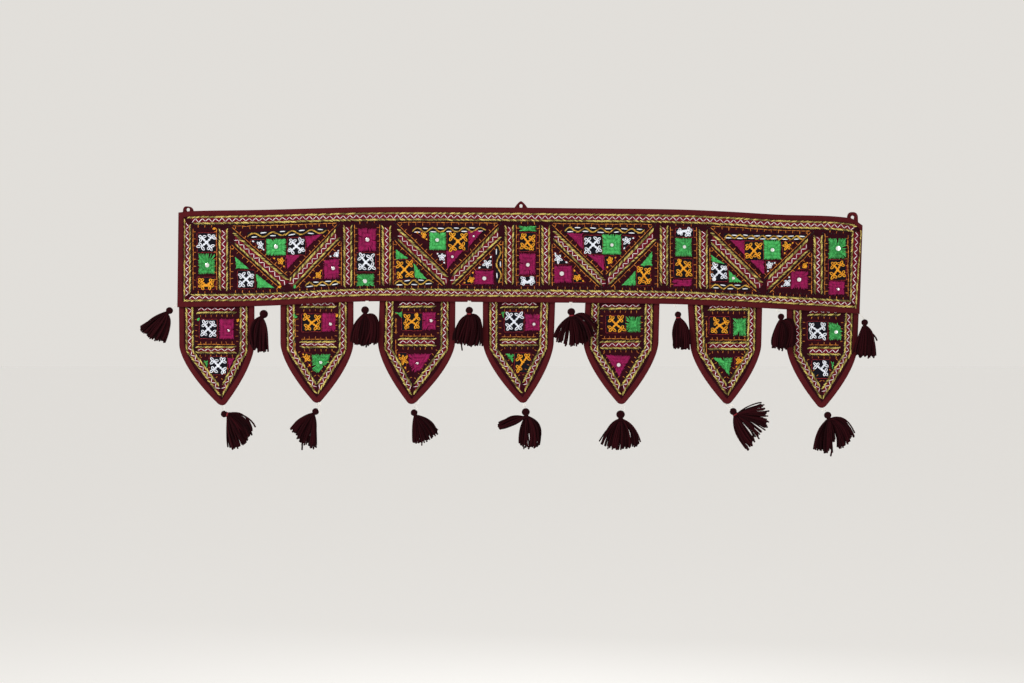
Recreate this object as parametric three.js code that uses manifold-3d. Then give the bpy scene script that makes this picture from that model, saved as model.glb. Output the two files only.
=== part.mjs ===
// A toran, the embroidered cloth that hangs over a doorway: one long band, seven pointed flaps sewn behind
// its lower edge, a folded binding round each of them, three hanging loops and fifteen yarn tassels.
// Millimetres, X along the band, Z up, front towards -Y, origin in the middle of the band's top edge.
// Every piece has the uneven shape in which the cloth hangs.
import * as THREE from "three";
import { mergeVertices } from "three/addons/utils/BufferGeometryUtils.js";
import Module from "manifold-3d";

const wasm = await Module();
wasm.setup();
const { lerp, clamp, degToRad } = THREE.MathUtils;

// Cloth thicknesses and widths.
const PANEL_THICK = 1.6;
const FOLD_THICK = 1; // one layer of the binding strip
const FOLD_WIDE = 8; // how far the binding reaches over the face of the cloth
const SEAM_GAP = 0.3; // air between pieces that are sewn together
const TRIM_RISE = 0.9; // how far the rope and zigzag trims stand off the ground cloth
const TRIM_SUNK = 0.4; // how far their solid reaches into it
const CLOTH_HALF = PANEL_THICK / 2;
const BINDING_HALF = CLOTH_HALF + SEAM_GAP + FOLD_THICK;
const PANEL_INSET = FOLD_THICK + SEAM_GAP; // from the binding's outer fold to the cut edge of the cloth

// The band: its sides, and its top and lower edges as they sag.
const BAND_HEIGHT = 140;
const BAND_SIDES = { leftTop: -499.5, leftLow: -501, rightTop: 500, rightLow: 495 };
const BAND_EDGES = [
  { x: -502, top: -8, low: -146 },
  { x: -480, top: -5.5, low: -145.5 },
  { x: -383, top: -3.8, low: -144.3 },
  { x: -226, top: 0, low: -137.5 },
  { x: -74, top: 0, low: -138.3 },
  { x: 71, top: -1.2, low: -139.4 },
  { x: 223, top: -3.2, low: -141.5 },
  { x: 300, top: -6.5, low: -144.6 },
  { x: 370, top: -10.6, low: -148.2 },
  { x: 480, top: -15.5, low: -154.6 },
  { x: 502, top: -27, low: -156 },
];
const RIGHT_SHARE = 0.62; // the curled right end shows less of its binding and border
const CURL = 8; // how far the right end rolls back
const CURL_START = 455;
const LONG_RIPPLE = { high: 1.6, wide: 78, start: 0.7 };
const SHORT_RIPPLE = { high: 0.9, wide: 33, start: 1.9 }; // grows from the top edge down
const RIPPLE_REACH = 1.1; // share of the height over which it grows
const FLAT_COLUMNS = 22;
const CURL_COLUMNS = 5;
const FLAT_SHARE = 0.955; // share of the width that the flat columns cover
const BAND_COLUMNS = FLAT_COLUMNS + CURL_COLUMNS;
const BAND_ROWS = 3;

// Trims of the band, in millimetres along it and down from its top edge.
const BORDER_TRIM = { outer: 9.3, inner: 19.8 };
const UPRIGHT_WIDE = 13;
const UPRIGHT_FROM = 29;
const UPRIGHT_TO = 115;
const UPRIGHT_STEPS = 2;
const DIAGONAL_STEPS = 3;
const UPRIGHTS = [-433, -252, -195.5, -16, 36.5, 208, 265.5, 433.5];
const VEE_TOP = 36;
const VEE_FOOT = 108;
const VEES = [
  { left: -417, footLeft: -340, footRight: -335, right: -267.5 },
  { left: -178.5, footLeft: -108, footRight: -96, right: -32.5 },
  { left: 49.5, footLeft: 119, footRight: 132, right: 190.5 },
  { left: 278.5, footLeft: 350.5, footRight: 362, right: 417 },
];

// The flaps: sides at the top and at the shoulder, tip, the cross trim, how far the tip leans to the
// front, how far the sides cup back, the depth at which the flap settles, and its columns of cloth.
const FLAPS = [
  {
    left: -499.7, right: -389.6, leftLow: -499.3, rightLow: -389.6, shoulder: -201,
    tipX: -436, tipZ: -289, cross: -207.5, lean: 2, cup: 1.5, rest: 0, columns: 4,
  },
  {
    left: -351.5, right: -244.5, leftLow: -351.3, rightLow: -244.5, shoulder: -199,
    tipX: -297.5, tipZ: -285.3, cross: -198, lean: 3, cup: -1, rest: -0.5, columns: 4,
  },
  {
    left: -206.6, right: -95.6, leftLow: -209, rightLow: -96.2, shoulder: -198,
    tipX: -160, tipZ: -287.2, cross: -195, lean: 1.5, cup: 1, rest: 0.5, columns: 4,
  },
  {
    left: -55.8, right: 50.1, leftLow: -55.8, rightLow: 48, shoulder: -197,
    tipX: 3, tipZ: -285.3, cross: -197, lean: 4, cup: 2, rest: 0, columns: 4,
  },
  {
    left: 93.9, right: 202.6, leftLow: 91.1, rightLow: 201, shoulder: -197,
    tipX: 146.5, tipZ: -287.2, cross: -200, lean: 2, cup: -1.5, rest: -0.5, columns: 4,
  },
  {
    left: 243.4, right: 352.2, leftLow: 247.2, rightLow: 351, shoulder: -201,
    tipX: 301, tipZ: -287, cross: -206.5, lean: 3, cup: 1.5, rest: 0, columns: 4,
  },
  {
    left: 388, right: 494.9, leftLow: 388, rightLow: 492.5, shoulder: -204,
    tipX: 439, tipZ: -292.7, cross: -213, lean: 3, cup: -1, rest: 1.5, columns: 9,
  },
];
const FLAP_TUCK = 10; // how far a flap runs up behind the band
const FLAP_GAP = 0.5; // air between a flap's binding and the back of the band's
const FLAP_BACK = 2 * BINDING_HALF + FLAP_GAP; // from the middle of the band's cloth to that of a flap's
const SEAM_ROW = 3; // the row of the outline under the band's lower edge
const TIP_HALF = 3.75;
const TAPER_POWER = 1.55;
const TAPER_ROWS = [0.28, 0.56, 0.8, 1];
const FLAP_TRIM = { outer: 9.7, inner: 21.3 };
const UPPER_TRIM = { above: 2, below: 9.5 }; // from the band's lower edge
const CROSS_WIDE = 11.5;
const CROSS_STEPS = 4;
const CROSS_INSET = 24; // from a flap's side to the end of its cross trims

// The hanging loops on the band's top edge: how far the apex leans, and how round the shape is.
const LOOPS = [
  { name: "left", x: -486, wide: 16.5, high: 7.6, lean: -2.5, round: 0.9 },
  { name: "middle", x: 0, wide: 20, high: 9.6, lean: 0, round: 0.15 },
  { name: "right", x: 485, wide: 17, high: 10.5, lean: 0, round: 1 },
];
const LOOP_THICK = 1.6;
const LOOP_TUCK = 11; // how far a loop's legs run down behind the band
const LOOP_BACK = BINDING_HALF + 2 * SEAM_GAP;
const SLIM = { side: 0.42, brow: 0.7 }; // the shape of a loop that isn't round at all
const LOOP_WAIST = 0.96; // share of a loop's width at the band's edge
const APEX_HALF = 0.8;
const LOOP_STEPS = 5;
const HOLE = { half: 2.3, low: 0.7, high: 5.2, corner: 0.3 };

// Tassels: where the thread leaves the cloth (under the band's lower fold where no height is given), the
// middle of the head, its depth, radius and neck angle.
// Angles are in degrees from straight down, positive to the right.
const TASSELS = [
  { name: "tip_tassel_1", anchorX: -436, anchorZ: -289.4, x: -433, z: -301.6, y: 2, size: 4.8, neck: 78 },
  { name: "tip_tassel_2", anchorX: -297, anchorZ: -285.7, x: -299.5, z: -297.9, y: 1, size: 4.9, neck: -40 },
  { name: "tip_tassel_3", anchorX: -151.3, anchorZ: -283.6, x: -156, z: -299.6, y: 3, size: 4.9, neck: 25 },
  { name: "tip_tassel_4", anchorX: 3.5, anchorZ: -285.7, x: 7, z: -298.6, y: 0, size: 5.7, neck: 5 },
  { name: "tip_tassel_5", anchorX: 149, anchorZ: -287.6, x: 145.3, z: -302.3, y: 2, size: 6.1, neck: 2 },
  { name: "tip_tassel_6", anchorX: 298, anchorZ: -287.4, x: 309.5, z: -297.8, y: 1, size: 5.1, neck: 35 },
  { name: "tip_tassel_7", anchorX: 440, anchorZ: -293.1, x: 447.5, z: -303.4, y: 2, size: 5.2, neck: 20 },
  { name: "gap_tassel_1", anchorX: -371.7, x: -374, z: -155.8, y: -5, size: 6, neck: -30 },
  { name: "gap_tassel_2", anchorX: -224.5, x: -226.7, z: -150, y: -5, size: 5.5, neck: 0 },
  { name: "gap_tassel_3", anchorX: -75, x: -75.2, z: -150.5, y: -5, size: 5.3, neck: 0 },
  { name: "gap_tassel_4", anchorX: 72.5, x: 73, z: -152.7, y: -8, size: 5.5, neck: 8 },
  { name: "gap_tassel_5", anchorX: 224, x: 228.3, z: -156.6, y: -5, size: 4.6, neck: 5 },
  { name: "gap_tassel_6", anchorX: 374, x: 377.6, z: -159.8, y: -8, size: 4.6, neck: 0 },
  { name: "end_tassel_left", anchorX: -501.6, anchorZ: -142, x: -512.3, z: -150.7, y: 0, size: 5, neck: -45 },
  { name: "end_tassel_right", anchorX: 495, x: 500, z: -168.1, y: -4, size: 4.7, neck: 0 },
];
// Tufts of yarn: the first and the last lock of each fan, with the turn and length of its end and the
// turn and reach of the bend on its way there.
const TUFTS = [
  {
    tassel: "tip_tassel_1", locks: 10, turn: 14, long: 52, bend: 2, reach: 26,
    toTurn: 63, toLong: 46, toBend: 102, toReach: 35,
  },
  {
    tassel: "tip_tassel_2", locks: 10, turn: -52, long: 41, bend: -73, reach: 26,
    toTurn: 1, toLong: 52, toBend: 10, toReach: 20,
  },
  {
    tassel: "tip_tassel_3", locks: 10, turn: -2, long: 43, bend: -10, reach: 20,
    toTurn: 51, toLong: 43, toBend: 72, toReach: 29,
  },
  {
    tassel: "tip_tassel_4", locks: 3, turn: -62, long: 45, bend: -90, reach: 27,
    toTurn: -57, toLong: 42, toBend: -30, toReach: 25,
  },
  {
    tassel: "tip_tassel_4", locks: 7, turn: -9, long: 48, bend: -27, reach: 30,
    toTurn: 22, toLong: 51, toBend: 63, toReach: 33,
  },
  {
    tassel: "tip_tassel_5", locks: 10, turn: -36, long: 50, bend: -57, reach: 21,
    toTurn: 32, toLong: 49, toBend: 71, toReach: 33,
  },
  {
    tassel: "tip_tassel_6", locks: 5, turn: 20, long: 58, bend: -6, reach: 29,
    toTurn: 38, toLong: 52, toBend: 43, toReach: 35,
  },
  {
    tassel: "tip_tassel_6", locks: 5, turn: 58, long: 53, bend: 63, reach: 23,
    toTurn: 106, toLong: 43, toBend: 100, toReach: 20,
  },
  {
    tassel: "tip_tassel_7", locks: 5, turn: -18, long: 52, bend: -43, reach: 24,
    toTurn: 7, toLong: 51, toBend: 18, toReach: 26,
  },
  {
    tassel: "tip_tassel_7", locks: 5, turn: 19, long: 50, bend: 30, reach: 28,
    toTurn: 54, toLong: 47, toBend: 101, toReach: 29,
  },
  {
    tassel: "gap_tassel_1", locks: 10, turn: -20, long: 49, bend: -64, reach: 31,
    toTurn: 3, toLong: 53, toBend: 19, toReach: 20,
  },
  {
    tassel: "gap_tassel_2", locks: 10, turn: -22, long: 50, bend: -47, reach: 34,
    toTurn: 18, toLong: 48, toBend: 80, toReach: 23,
  },
  {
    tassel: "gap_tassel_3", locks: 10, turn: -26, long: 47, bend: -55, reach: 31,
    toTurn: 16, toLong: 51, toBend: 82, toReach: 23,
  },
  {
    tassel: "gap_tassel_4", locks: 6, turn: -32, long: 45, bend: -51, reach: 32,
    toTurn: 12, toLong: 49, toBend: 26, toReach: 25,
  },
  {
    tassel: "gap_tassel_4", locks: 5, turn: 22, long: 47, bend: 60, reach: 25,
    toTurn: 59, toLong: 44, toBend: 110, toReach: 24,
  },
  {
    tassel: "gap_tassel_5", locks: 10, turn: -8, long: 46, bend: -26, reach: 29,
    toTurn: 19, toLong: 49, toBend: 50, toReach: 28,
  },
  {
    tassel: "gap_tassel_6", locks: 10, turn: -16, long: 46, bend: -30, reach: 31,
    toTurn: 26, toLong: 43, toBend: 104, toReach: 27,
  },
  {
    tassel: "end_tassel_left", locks: 10, turn: -60, long: 48, bend: -71, reach: 27,
    toTurn: -8, toLong: 45, toBend: 17, toReach: 18,
  },
  {
    tassel: "end_tassel_right", locks: 10, turn: -15, long: 46, bend: -25, reach: 27,
    toTurn: 15, toLong: 49, toBend: 50, toReach: 22,
  },
];
const TUFT_DEPTH = 5; // how far the front and back locks of a tuft stand from its middle
const LOCK_ROOT = 1.1; // radius of a lock at its root and at its end
const LOCK_END = 2.2;
const LOCK_STEPS = 3;
const LOCK_SIDES = 3;
const ROOT_DOWN = 1.2; // where the locks start under the head, in radii of the head
const ROOT_DEPTH = 0.6;
const BEND_DEPTH = 0.8; // share of the tuft's depth at the bend
const RAGGED = { high: 0.04, turn: 17 }; // the uneven lengths of the locks
const HEAD_SIDES = 6;
const HEAD_PROFILE = [
  [0, 1],
  [0.72, 0.7],
  [1, 0],
  [0.6, -0.85],
  [0.6, -1.1],
  [1.2, -1.4],
  [0, -1.7],
]; // across and up, in radii of the head: the ball, the bound neck and the flare under it
const THREAD_RADIUS = 0.6;
const THREAD_SIDES = 4;
const THREAD_STEPS = 2;
const THREAD_BEND = 0.55; // share of the way up at which the thread bends
const THREAD_SWAY = 0.6;
const THREAD_DROP = 0.8; // from the band's lower fold to the end of a thread that hangs from it

const MERGE_WITHIN = 1e-4; // corners this near each other are one

const MAROON = new THREE.MeshStandardMaterial({ color: 0x4d1823, roughness: 0.9, metalness: 0 });
const GROUND = new THREE.MeshStandardMaterial({ color: 0x6a3428, roughness: 0.85, metalness: 0 });
const YARN = new THREE.MeshStandardMaterial({ color: 0x2c0c15, roughness: 0.95, metalness: 0 });

// A geometry as a closed solid, its faces turned outwards.
function toSolid(geometry) {
  geometry.deleteAttribute("normal");
  geometry.deleteAttribute("uv");
  const merged = mergeVertices(geometry, MERGE_WITHIN);
  const vertProperties = merged.attributes.position.array;
  const triVerts = new Uint32Array(merged.index.array);
  const solid = new wasm.Manifold(new wasm.Mesh({ numProp: 3, vertProperties, triVerts }));
  if (solid.volume() > 0) return solid;
  return new wasm.Manifold(new wasm.Mesh({ numProp: 3, vertProperties, triVerts: triVerts.reverse() }));
}

// A geometry with each corner moved to the place that a rule gives it, as a solid.
function shaped(geometry, rule) {
  const corners = geometry.attributes.position;
  const corner = new THREE.Vector3();
  for (let index = 0; index < corners.count; index++) {
    corner.fromBufferAttribute(corners, index);
    const [x, y, z] = rule(corner, index);
    corners.setXYZ(index, x, y, z);
  }
  return toSolid(geometry);
}

// A thin sheet: a box of unit size cut into columns and rows, laid on the cloth by a rule that takes the
// column, the row and the side, which is 0 at the front and 1 at the back.
function sheet(columns, rows, rule) {
  const slab = new THREE.BoxGeometry(1, 1, 1, columns, rows, 1);
  return shaped(slab, (corner) =>
    rule(Math.round((corner.x + 0.5) * columns), Math.round((0.5 - corner.y) * rows), corner.z + 0.5),
  );
}

function namedMesh(name, solid, material) {
  const { vertProperties, triVerts } = solid.getMesh();
  const geometry = new THREE.BufferGeometry();
  geometry.setAttribute("position", new THREE.BufferAttribute(vertProperties, 3));
  geometry.setIndex(new THREE.BufferAttribute(triVerts, 1));
  geometry.computeVertexNormals();
  const mesh = new THREE.Mesh(geometry, material);
  mesh.name = name;
  return mesh;
}

// Height of the band's top or lower edge at x: a smooth curve through the rows of its table.
function edgeAt(x, column) {
  const last = BAND_EDGES.length - 1;
  const found = BAND_EDGES.findIndex((row) => row.x > x);
  const i = clamp(found < 0 ? last - 1 : found - 1, 0, last - 1);
  const slope = (k) => {
    const before = BAND_EDGES[Math.max(k - 1, 0)];
    const after = BAND_EDGES[Math.min(k + 1, last)];
    return (after[column] - before[column]) / (after.x - before.x);
  };
  const from = BAND_EDGES[i];
  const to = BAND_EDGES[i + 1];
  const span = to.x - from.x;
  const t = (x - from.x) / span;
  const blend = t * t * (3 - 2 * t);
  const rise = t * (1 - t) * (1 - t) * slope(i) - t * t * (1 - t) * slope(i + 1);
  return lerp(from[column], to[column], blend) + rise * span;
}

// How far the band's cloth stands behind its flat plane: slow ripples, and the roll of the right end.
function bandDepth(x, z) {
  const down = clamp(-z / BAND_HEIGHT, 0, RIPPLE_REACH);
  const wave = (ripple) => ripple.high * Math.sin(x / ripple.wide + ripple.start);
  const ripples = wave(LONG_RIPPLE) + down * wave(SHORT_RIPPLE);
  const roll = Math.max(x - CURL_START, 0) / (BAND_SIDES.rightTop - CURL_START);
  return ripples + CURL * roll * roll;
}

// A place on the band: u runs from its left to its right side and v from its top to its lower edge, both
// drawn in by the inset.
function bandPoint(u, v, inset) {
  const left = lerp(BAND_SIDES.leftTop, BAND_SIDES.leftLow, v) + inset;
  const right = lerp(BAND_SIDES.rightTop, BAND_SIDES.rightLow, v) - inset * RIGHT_SHARE;
  const x = lerp(left, right, u);
  return [x, lerp(edgeAt(x, "top") - inset, edgeAt(x, "low") + inset, v)];
}

function columnShare(i) {
  if (i <= FLAT_COLUMNS) return (FLAT_SHARE * i) / FLAT_COLUMNS;
  return FLAT_SHARE + ((1 - FLAT_SHARE) * (i - FLAT_COLUMNS)) / CURL_COLUMNS;
}

// A closed strip that follows the band's outline. A section lists its corners as an inset from the outline
// and a depth from the middle of the cloth.
function bandRing(section) {
  const loop = [];
  for (let i = 0; i <= BAND_COLUMNS; i++) loop.push([columnShare(i), 0]);
  for (let j = 1; j < BAND_ROWS; j++) loop.push([1, j / BAND_ROWS]);
  for (let i = BAND_COLUMNS; i >= 0; i--) loop.push([columnShare(i), 1]);
  for (let j = BAND_ROWS - 1; j > 0; j--) loop.push([0, j / BAND_ROWS]);
  const torus = new THREE.TorusGeometry(2, 1, section.length, loop.length);
  return shaped(torus, (corner, index) => {
    const [u, v] = loop[index % (loop.length + 1) % loop.length];
    const [inset, depth] = section[Math.floor(index / (loop.length + 1)) % section.length];
    const [x, z] = bandPoint(u, v, inset);
    return [x, bandDepth(x, z) + depth, z];
  });
}

// Section of the binding: one strip folded over the edge, a front leg, the fold and a back leg.
const BINDING_SECTION = [
  [0, -BINDING_HALF],
  [FOLD_WIDE, -BINDING_HALF],
  [FOLD_WIDE, FOLD_THICK - BINDING_HALF],
  [FOLD_THICK, FOLD_THICK - BINDING_HALF],
  [FOLD_THICK, BINDING_HALF - FOLD_THICK],
  [FOLD_WIDE, BINDING_HALF - FOLD_THICK],
  [FOLD_WIDE, BINDING_HALF],
  [0, BINDING_HALF],
];

// The depths of a trim's front and back face.
function trimDepth(side) {
  return lerp(-CLOTH_HALF - TRIM_RISE, -CLOTH_HALF + TRIM_SUNK, side);
}

// A straight trim on the band between two places given as millimetres along and down.
function bandStrip(from, to, wide, steps) {
  const run = new THREE.Vector2(to[0] - from[0], to[1] - from[1]).normalize();
  return sheet(steps, 1, (i, edge, side) => {
    const across = (edge - 0.5) * wide;
    const x = lerp(from[0], to[0], i / steps) - run.y * across;
    const down = lerp(from[1], to[1], i / steps) + run.x * across;
    const z = lerp(edgeAt(x, "top"), edgeAt(x, "low"), down / BAND_HEIGHT);
    return [x, bandDepth(x, z) + trimDepth(side), z];
  });
}

function bandPanel() {
  const cloth = sheet(BAND_COLUMNS, BAND_ROWS, (i, j, side) => {
    const [x, z] = bandPoint(columnShare(i), j / BAND_ROWS, PANEL_INSET);
    return [x, bandDepth(x, z) + lerp(-CLOTH_HALF, CLOTH_HALF, side), z];
  });
  const border = bandRing([
    [BORDER_TRIM.outer, trimDepth(0)],
    [BORDER_TRIM.inner, trimDepth(0)],
    [BORDER_TRIM.inner, trimDepth(1)],
    [BORDER_TRIM.outer, trimDepth(1)],
  ]);
  const uprights = UPRIGHTS.map((x) =>
    bandStrip([x, UPRIGHT_FROM], [x, UPRIGHT_TO], UPRIGHT_WIDE, UPRIGHT_STEPS),
  );
  const diagonals = VEES.flatMap((vee) => [
    bandStrip([vee.left, VEE_TOP], [vee.footLeft, VEE_FOOT], UPRIGHT_WIDE, DIAGONAL_STEPS),
    bandStrip([vee.footRight, VEE_FOOT], [vee.right, VEE_TOP], UPRIGHT_WIDE, DIAGONAL_STEPS),
  ]);
  return wasm.Manifold.union([cloth, border, ...uprights, ...diagonals]);
}

// A flap's outline, down its left side to the tip and up its right side: tucked behind the band, straight
// to the shoulder, then drawn in to the tip.
function flapOutline(flap) {
  const sideOf = (top, low, tip) => {
    const edge = edgeAt(top, "low");
    const heights = [edge + FLAP_TUCK, edge - SEAM_ROW, (edge + flap.shoulder) / 2, flap.shoulder];
    const straight = heights.map((z) => {
      const down = clamp((edge - z) / (edge - flap.shoulder), 0, 1);
      return [lerp(top, low, down), z];
    });
    const taper = TAPER_ROWS.map((t) => [
      lerp(low, tip, t ** TAPER_POWER),
      lerp(flap.shoulder, flap.tipZ, t),
    ]);
    return [...straight, ...taper];
  };
  const left = sideOf(flap.left, flap.leftLow, flap.tipX - TIP_HALF);
  const right = sideOf(flap.right, flap.rightLow, flap.tipX + TIP_HALF);
  return [...left, ...right.reverse()];
}

// A line drawn in from an outline by the same distance all along, with mitred corners.
function insetLine(outline, inset) {
  const normals = outline.slice(1).map(([x, z], i) => {
    return new THREE.Vector2(outline[i][1] - z, x - outline[i][0]).normalize();
  });
  return outline.map(([x, z], i) => {
    const before = normals[Math.max(i - 1, 0)];
    const after = normals[Math.min(i, normals.length - 1)];
    const mitre = before.clone().add(after).normalize();
    const reach = inset / mitre.dot(after);
    return [x + mitre.x * reach, z + mitre.y * reach];
  });
}

// The same for a trim, whose two sides meet in one point above the tip.
function trimLine(outline, inset) {
  const line = insetLine(outline, inset);
  const half = outline.length / 2;
  const [a, b, c, d] = [line[half - 2], line[half - 1], line[half + 1], line[half]];
  const slopeLeft = (b[1] - a[1]) / (b[0] - a[0]);
  const slopeRight = (d[1] - c[1]) / (d[0] - c[0]);
  const x = (c[1] - a[1] + slopeLeft * a[0] - slopeRight * c[0]) / (slopeLeft - slopeRight);
  const meeting = [x, a[1] + slopeLeft * (x - a[0])];
  return [...line.slice(0, half - 1), meeting, ...line.slice(half + 1)];
}

// How far a flap's cloth stands behind the band's flat plane: as the band at the seam, then settling to its
// own depth, with its lean and cup.
function flapDepth(flap, x, z) {
  const edge = edgeAt(x, "low");
  const down = clamp((edge - z) / (edge - flap.tipZ), 0, 1);
  const middle = (flap.left + flap.right) / 2;
  const across = (x - middle) / (flap.right - middle);
  const settled = lerp(bandDepth(x, edge), flap.rest, down * down * (3 - 2 * down));
  return FLAP_BACK + settled - flap.lean * down * down + flap.cup * across * across * down;
}

function flapPanel(flap) {
  const outline = flapOutline(flap);
  const edge = insetLine(outline, PANEL_INSET);
  const rows = outline.length / 2 - 1;
  const cloth = sheet(flap.columns, rows, (i, j, side) => {
    const [leftX, leftZ] = edge[j];
    const [rightX, rightZ] = edge[edge.length - 1 - j];
    const x = lerp(leftX, rightX, i / flap.columns);
    const z = lerp(leftZ, rightZ, i / flap.columns);
    return [x, flapDepth(flap, x, z) + lerp(-CLOTH_HALF, CLOTH_HALF, side), z];
  });
  const lines = [trimLine(outline, FLAP_TRIM.outer), trimLine(outline, FLAP_TRIM.inner)];
  const border = sheet(lines[0].length - 1, 1, (i, line, side) => {
    const [x, z] = lines[line][i];
    return [x, flapDepth(flap, x, z) + trimDepth(side), z];
  });
  const crossTrim = (from, to) =>
    sheet(CROSS_STEPS, 1, (i, row, side) => {
      const x = lerp(flap.left + CROSS_INSET, flap.right - CROSS_INSET, i / CROSS_STEPS);
      const z = lerp(from(x), to(x), row);
      return [x, flapDepth(flap, x, z) + trimDepth(side), z];
    });
  const upper = crossTrim(
    (x) => edgeAt(x, "low") + UPPER_TRIM.above,
    (x) => edgeAt(x, "low") - UPPER_TRIM.below,
  );
  const lower = crossTrim(() => flap.cross + CROSS_WIDE / 2, () => flap.cross - CROSS_WIDE / 2);
  return wasm.Manifold.union([cloth, border, upper, lower]);
}

function flapBinding(flap) {
  const outline = flapOutline(flap);
  const section = new THREE.Shape(BINDING_SECTION.map(([inset, depth]) => new THREE.Vector2(inset, depth)));
  const steps = outline.length - 1;
  const strip = new THREE.ExtrudeGeometry(section, { depth: 1, steps, bevelEnabled: false });
  return shaped(strip, (corner) => {
    const [x, z] = insetLine(outline, corner.x)[Math.round(corner.z * steps)];
    return [x, flapDepth(flap, x, z) + corner.y, z];
  });
}

// A hanging loop: a flat strip bent into a loop, with the hole that goes over the nail. Its legs lie
// behind the band.
function hangingLoop(loop) {
  const half = loop.wide / 2;
  const side = half * lerp(SLIM.side, 1, loop.round);
  const brow = loop.high * lerp(SLIM.brow, 1, loop.round);
  const outline = new THREE.Shape();
  outline.moveTo(-half, -LOOP_TUCK);
  outline.lineTo(half, -LOOP_TUCK);
  outline.lineTo(half * LOOP_WAIST, 0);
  outline.quadraticCurveTo(side, brow, loop.lean + APEX_HALF, loop.high);
  outline.lineTo(loop.lean - APEX_HALF, loop.high);
  outline.quadraticCurveTo(-side, brow, -half * LOOP_WAIST, 0);
  outline.closePath();
  const hole = new THREE.Path();
  hole.moveTo(-HOLE.half, HOLE.low);
  hole.lineTo(-HOLE.half, HOLE.high - HOLE.corner);
  hole.lineTo(-HOLE.half + HOLE.corner, HOLE.high);
  hole.lineTo(HOLE.half - HOLE.corner, HOLE.high);
  hole.lineTo(HOLE.half, HOLE.high - HOLE.corner);
  hole.lineTo(HOLE.half, HOLE.low);
  hole.closePath();
  outline.holes.push(hole);
  const plate = new THREE.ExtrudeGeometry(outline, {
    depth: LOOP_THICK,
    steps: 1,
    curveSegments: LOOP_STEPS,
    bevelEnabled: false,
  });
  const top = edgeAt(loop.x, "top");
  return shaped(plate, (corner) => {
    const x = loop.x + corner.x;
    return [corner.x, bandDepth(x, top) + LOOP_BACK + corner.z, corner.y];
  });
}

// A regular section for a strand of unit radius.
function strandSection(sides) {
  const corners = [];
  for (let i = 0; i < sides; i++) {
    const angle = (2 * Math.PI * (i + 0.5)) / sides;
    corners.push(new THREE.Vector2(Math.sin(angle), Math.cos(angle)));
  }
  return new THREE.Shape(corners);
}

// A strand along a curve, its radius growing or shrinking evenly from the root to the end.
function strand(curve, rootRadius, endRadius, sides, steps) {
  const straight = new THREE.ExtrudeGeometry(strandSection(sides), { depth: 1, steps, bevelEnabled: false });
  return shaped(straight, (corner) => {
    const share = Math.round(corner.z * steps) / steps;
    const radius = lerp(rootRadius, endRadius, share);
    const run = curve.getTangent(share);
    const sideways = new THREE.Vector3(run.z, 0, -run.x).normalize();
    const forward = run.clone().cross(sideways);
    const place = curve.getPoint(share);
    place.addScaledVector(sideways, radius * corner.x);
    place.addScaledVector(forward, radius * corner.y);
    return [place.x, place.y, place.z];
  });
}

// A place around a tassel's head, by its angle from straight down, its distance and its depth.
function aroundHead(turn, reach, depth) {
  const angle = degToRad(turn);
  return new THREE.Vector3(reach * Math.sin(angle), depth, -reach * Math.cos(angle));
}

// The head: a ball of wound yarn with a tied neck that flares into the skirt.
function tasselHead(tassel) {
  const { size } = tassel;
  const profile = HEAD_PROFILE.map(([across, up]) => new THREE.Vector2(across * size, up * size));
  const ball = new THREE.LatheGeometry(profile, HEAD_SIDES);
  ball.rotateX(Math.PI / 2);
  ball.rotateY(-degToRad(tassel.neck));
  return toSolid(ball);
}

// A lock of a tuft: its end and its bend at a share of the fan, in one of three layers.
function lockCurve(tassel, tuft, share, layer, rootShare) {
  const root = aroundHead(tassel.neck, ROOT_DOWN * tassel.size, ROOT_DEPTH * layer * tassel.size);
  root.addScaledVector(aroundHead(tassel.neck + 90, tassel.size, 0), 2 * rootShare - 1);
  const bendTurn = lerp(tuft.bend, tuft.toBend, share);
  const reach = lerp(tuft.reach, tuft.toReach, share);
  const turn = lerp(tuft.turn, tuft.toTurn, share);
  const ragged = 1 + RAGGED.high * Math.sin(RAGGED.turn * share);
  const long = lerp(tuft.long, tuft.toLong, share) * ragged;
  return new THREE.QuadraticBezierCurve3(
    root,
    aroundHead(bendTurn, reach, BEND_DEPTH * layer * TUFT_DEPTH),
    aroundHead(turn, long, layer * TUFT_DEPTH),
  );
}

// All locks of a tassel, side by side at the neck from the first tuft to the last.
function tasselLocks(tassel) {
  const tufts = TUFTS.filter((tuft) => tuft.tassel === tassel.name);
  const total = tufts.reduce((sum, tuft) => sum + tuft.locks, 0);
  const locks = [];
  for (const tuft of tufts) {
    for (let i = 0; i < tuft.locks; i++) {
      const rootShare = (locks.length + 0.5) / total;
      const layer = (locks.length % 3) - 1;
      const curve = lockCurve(tassel, tuft, (i + 0.5) / tuft.locks, layer, rootShare);
      locks.push(strand(curve, LOCK_ROOT, LOCK_END, LOCK_SIDES, LOCK_STEPS));
    }
  }
  return locks;
}

// Where a tassel's thread leaves the cloth: at a flap's tip, at the band's side or under its lower fold.
function tasselAnchor(tassel) {
  const { name, anchorX, anchorZ } = tassel;
  if (name.startsWith("tip")) {
    const flap = FLAPS[Number(name.slice(-1)) - 1];
    return [anchorX, flapDepth(flap, anchorX, anchorZ), anchorZ];
  }
  const z = anchorZ ?? edgeAt(anchorX, "low") - THREAD_DROP;
  return [anchorX, bandDepth(anchorX, z), z];
}

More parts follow.
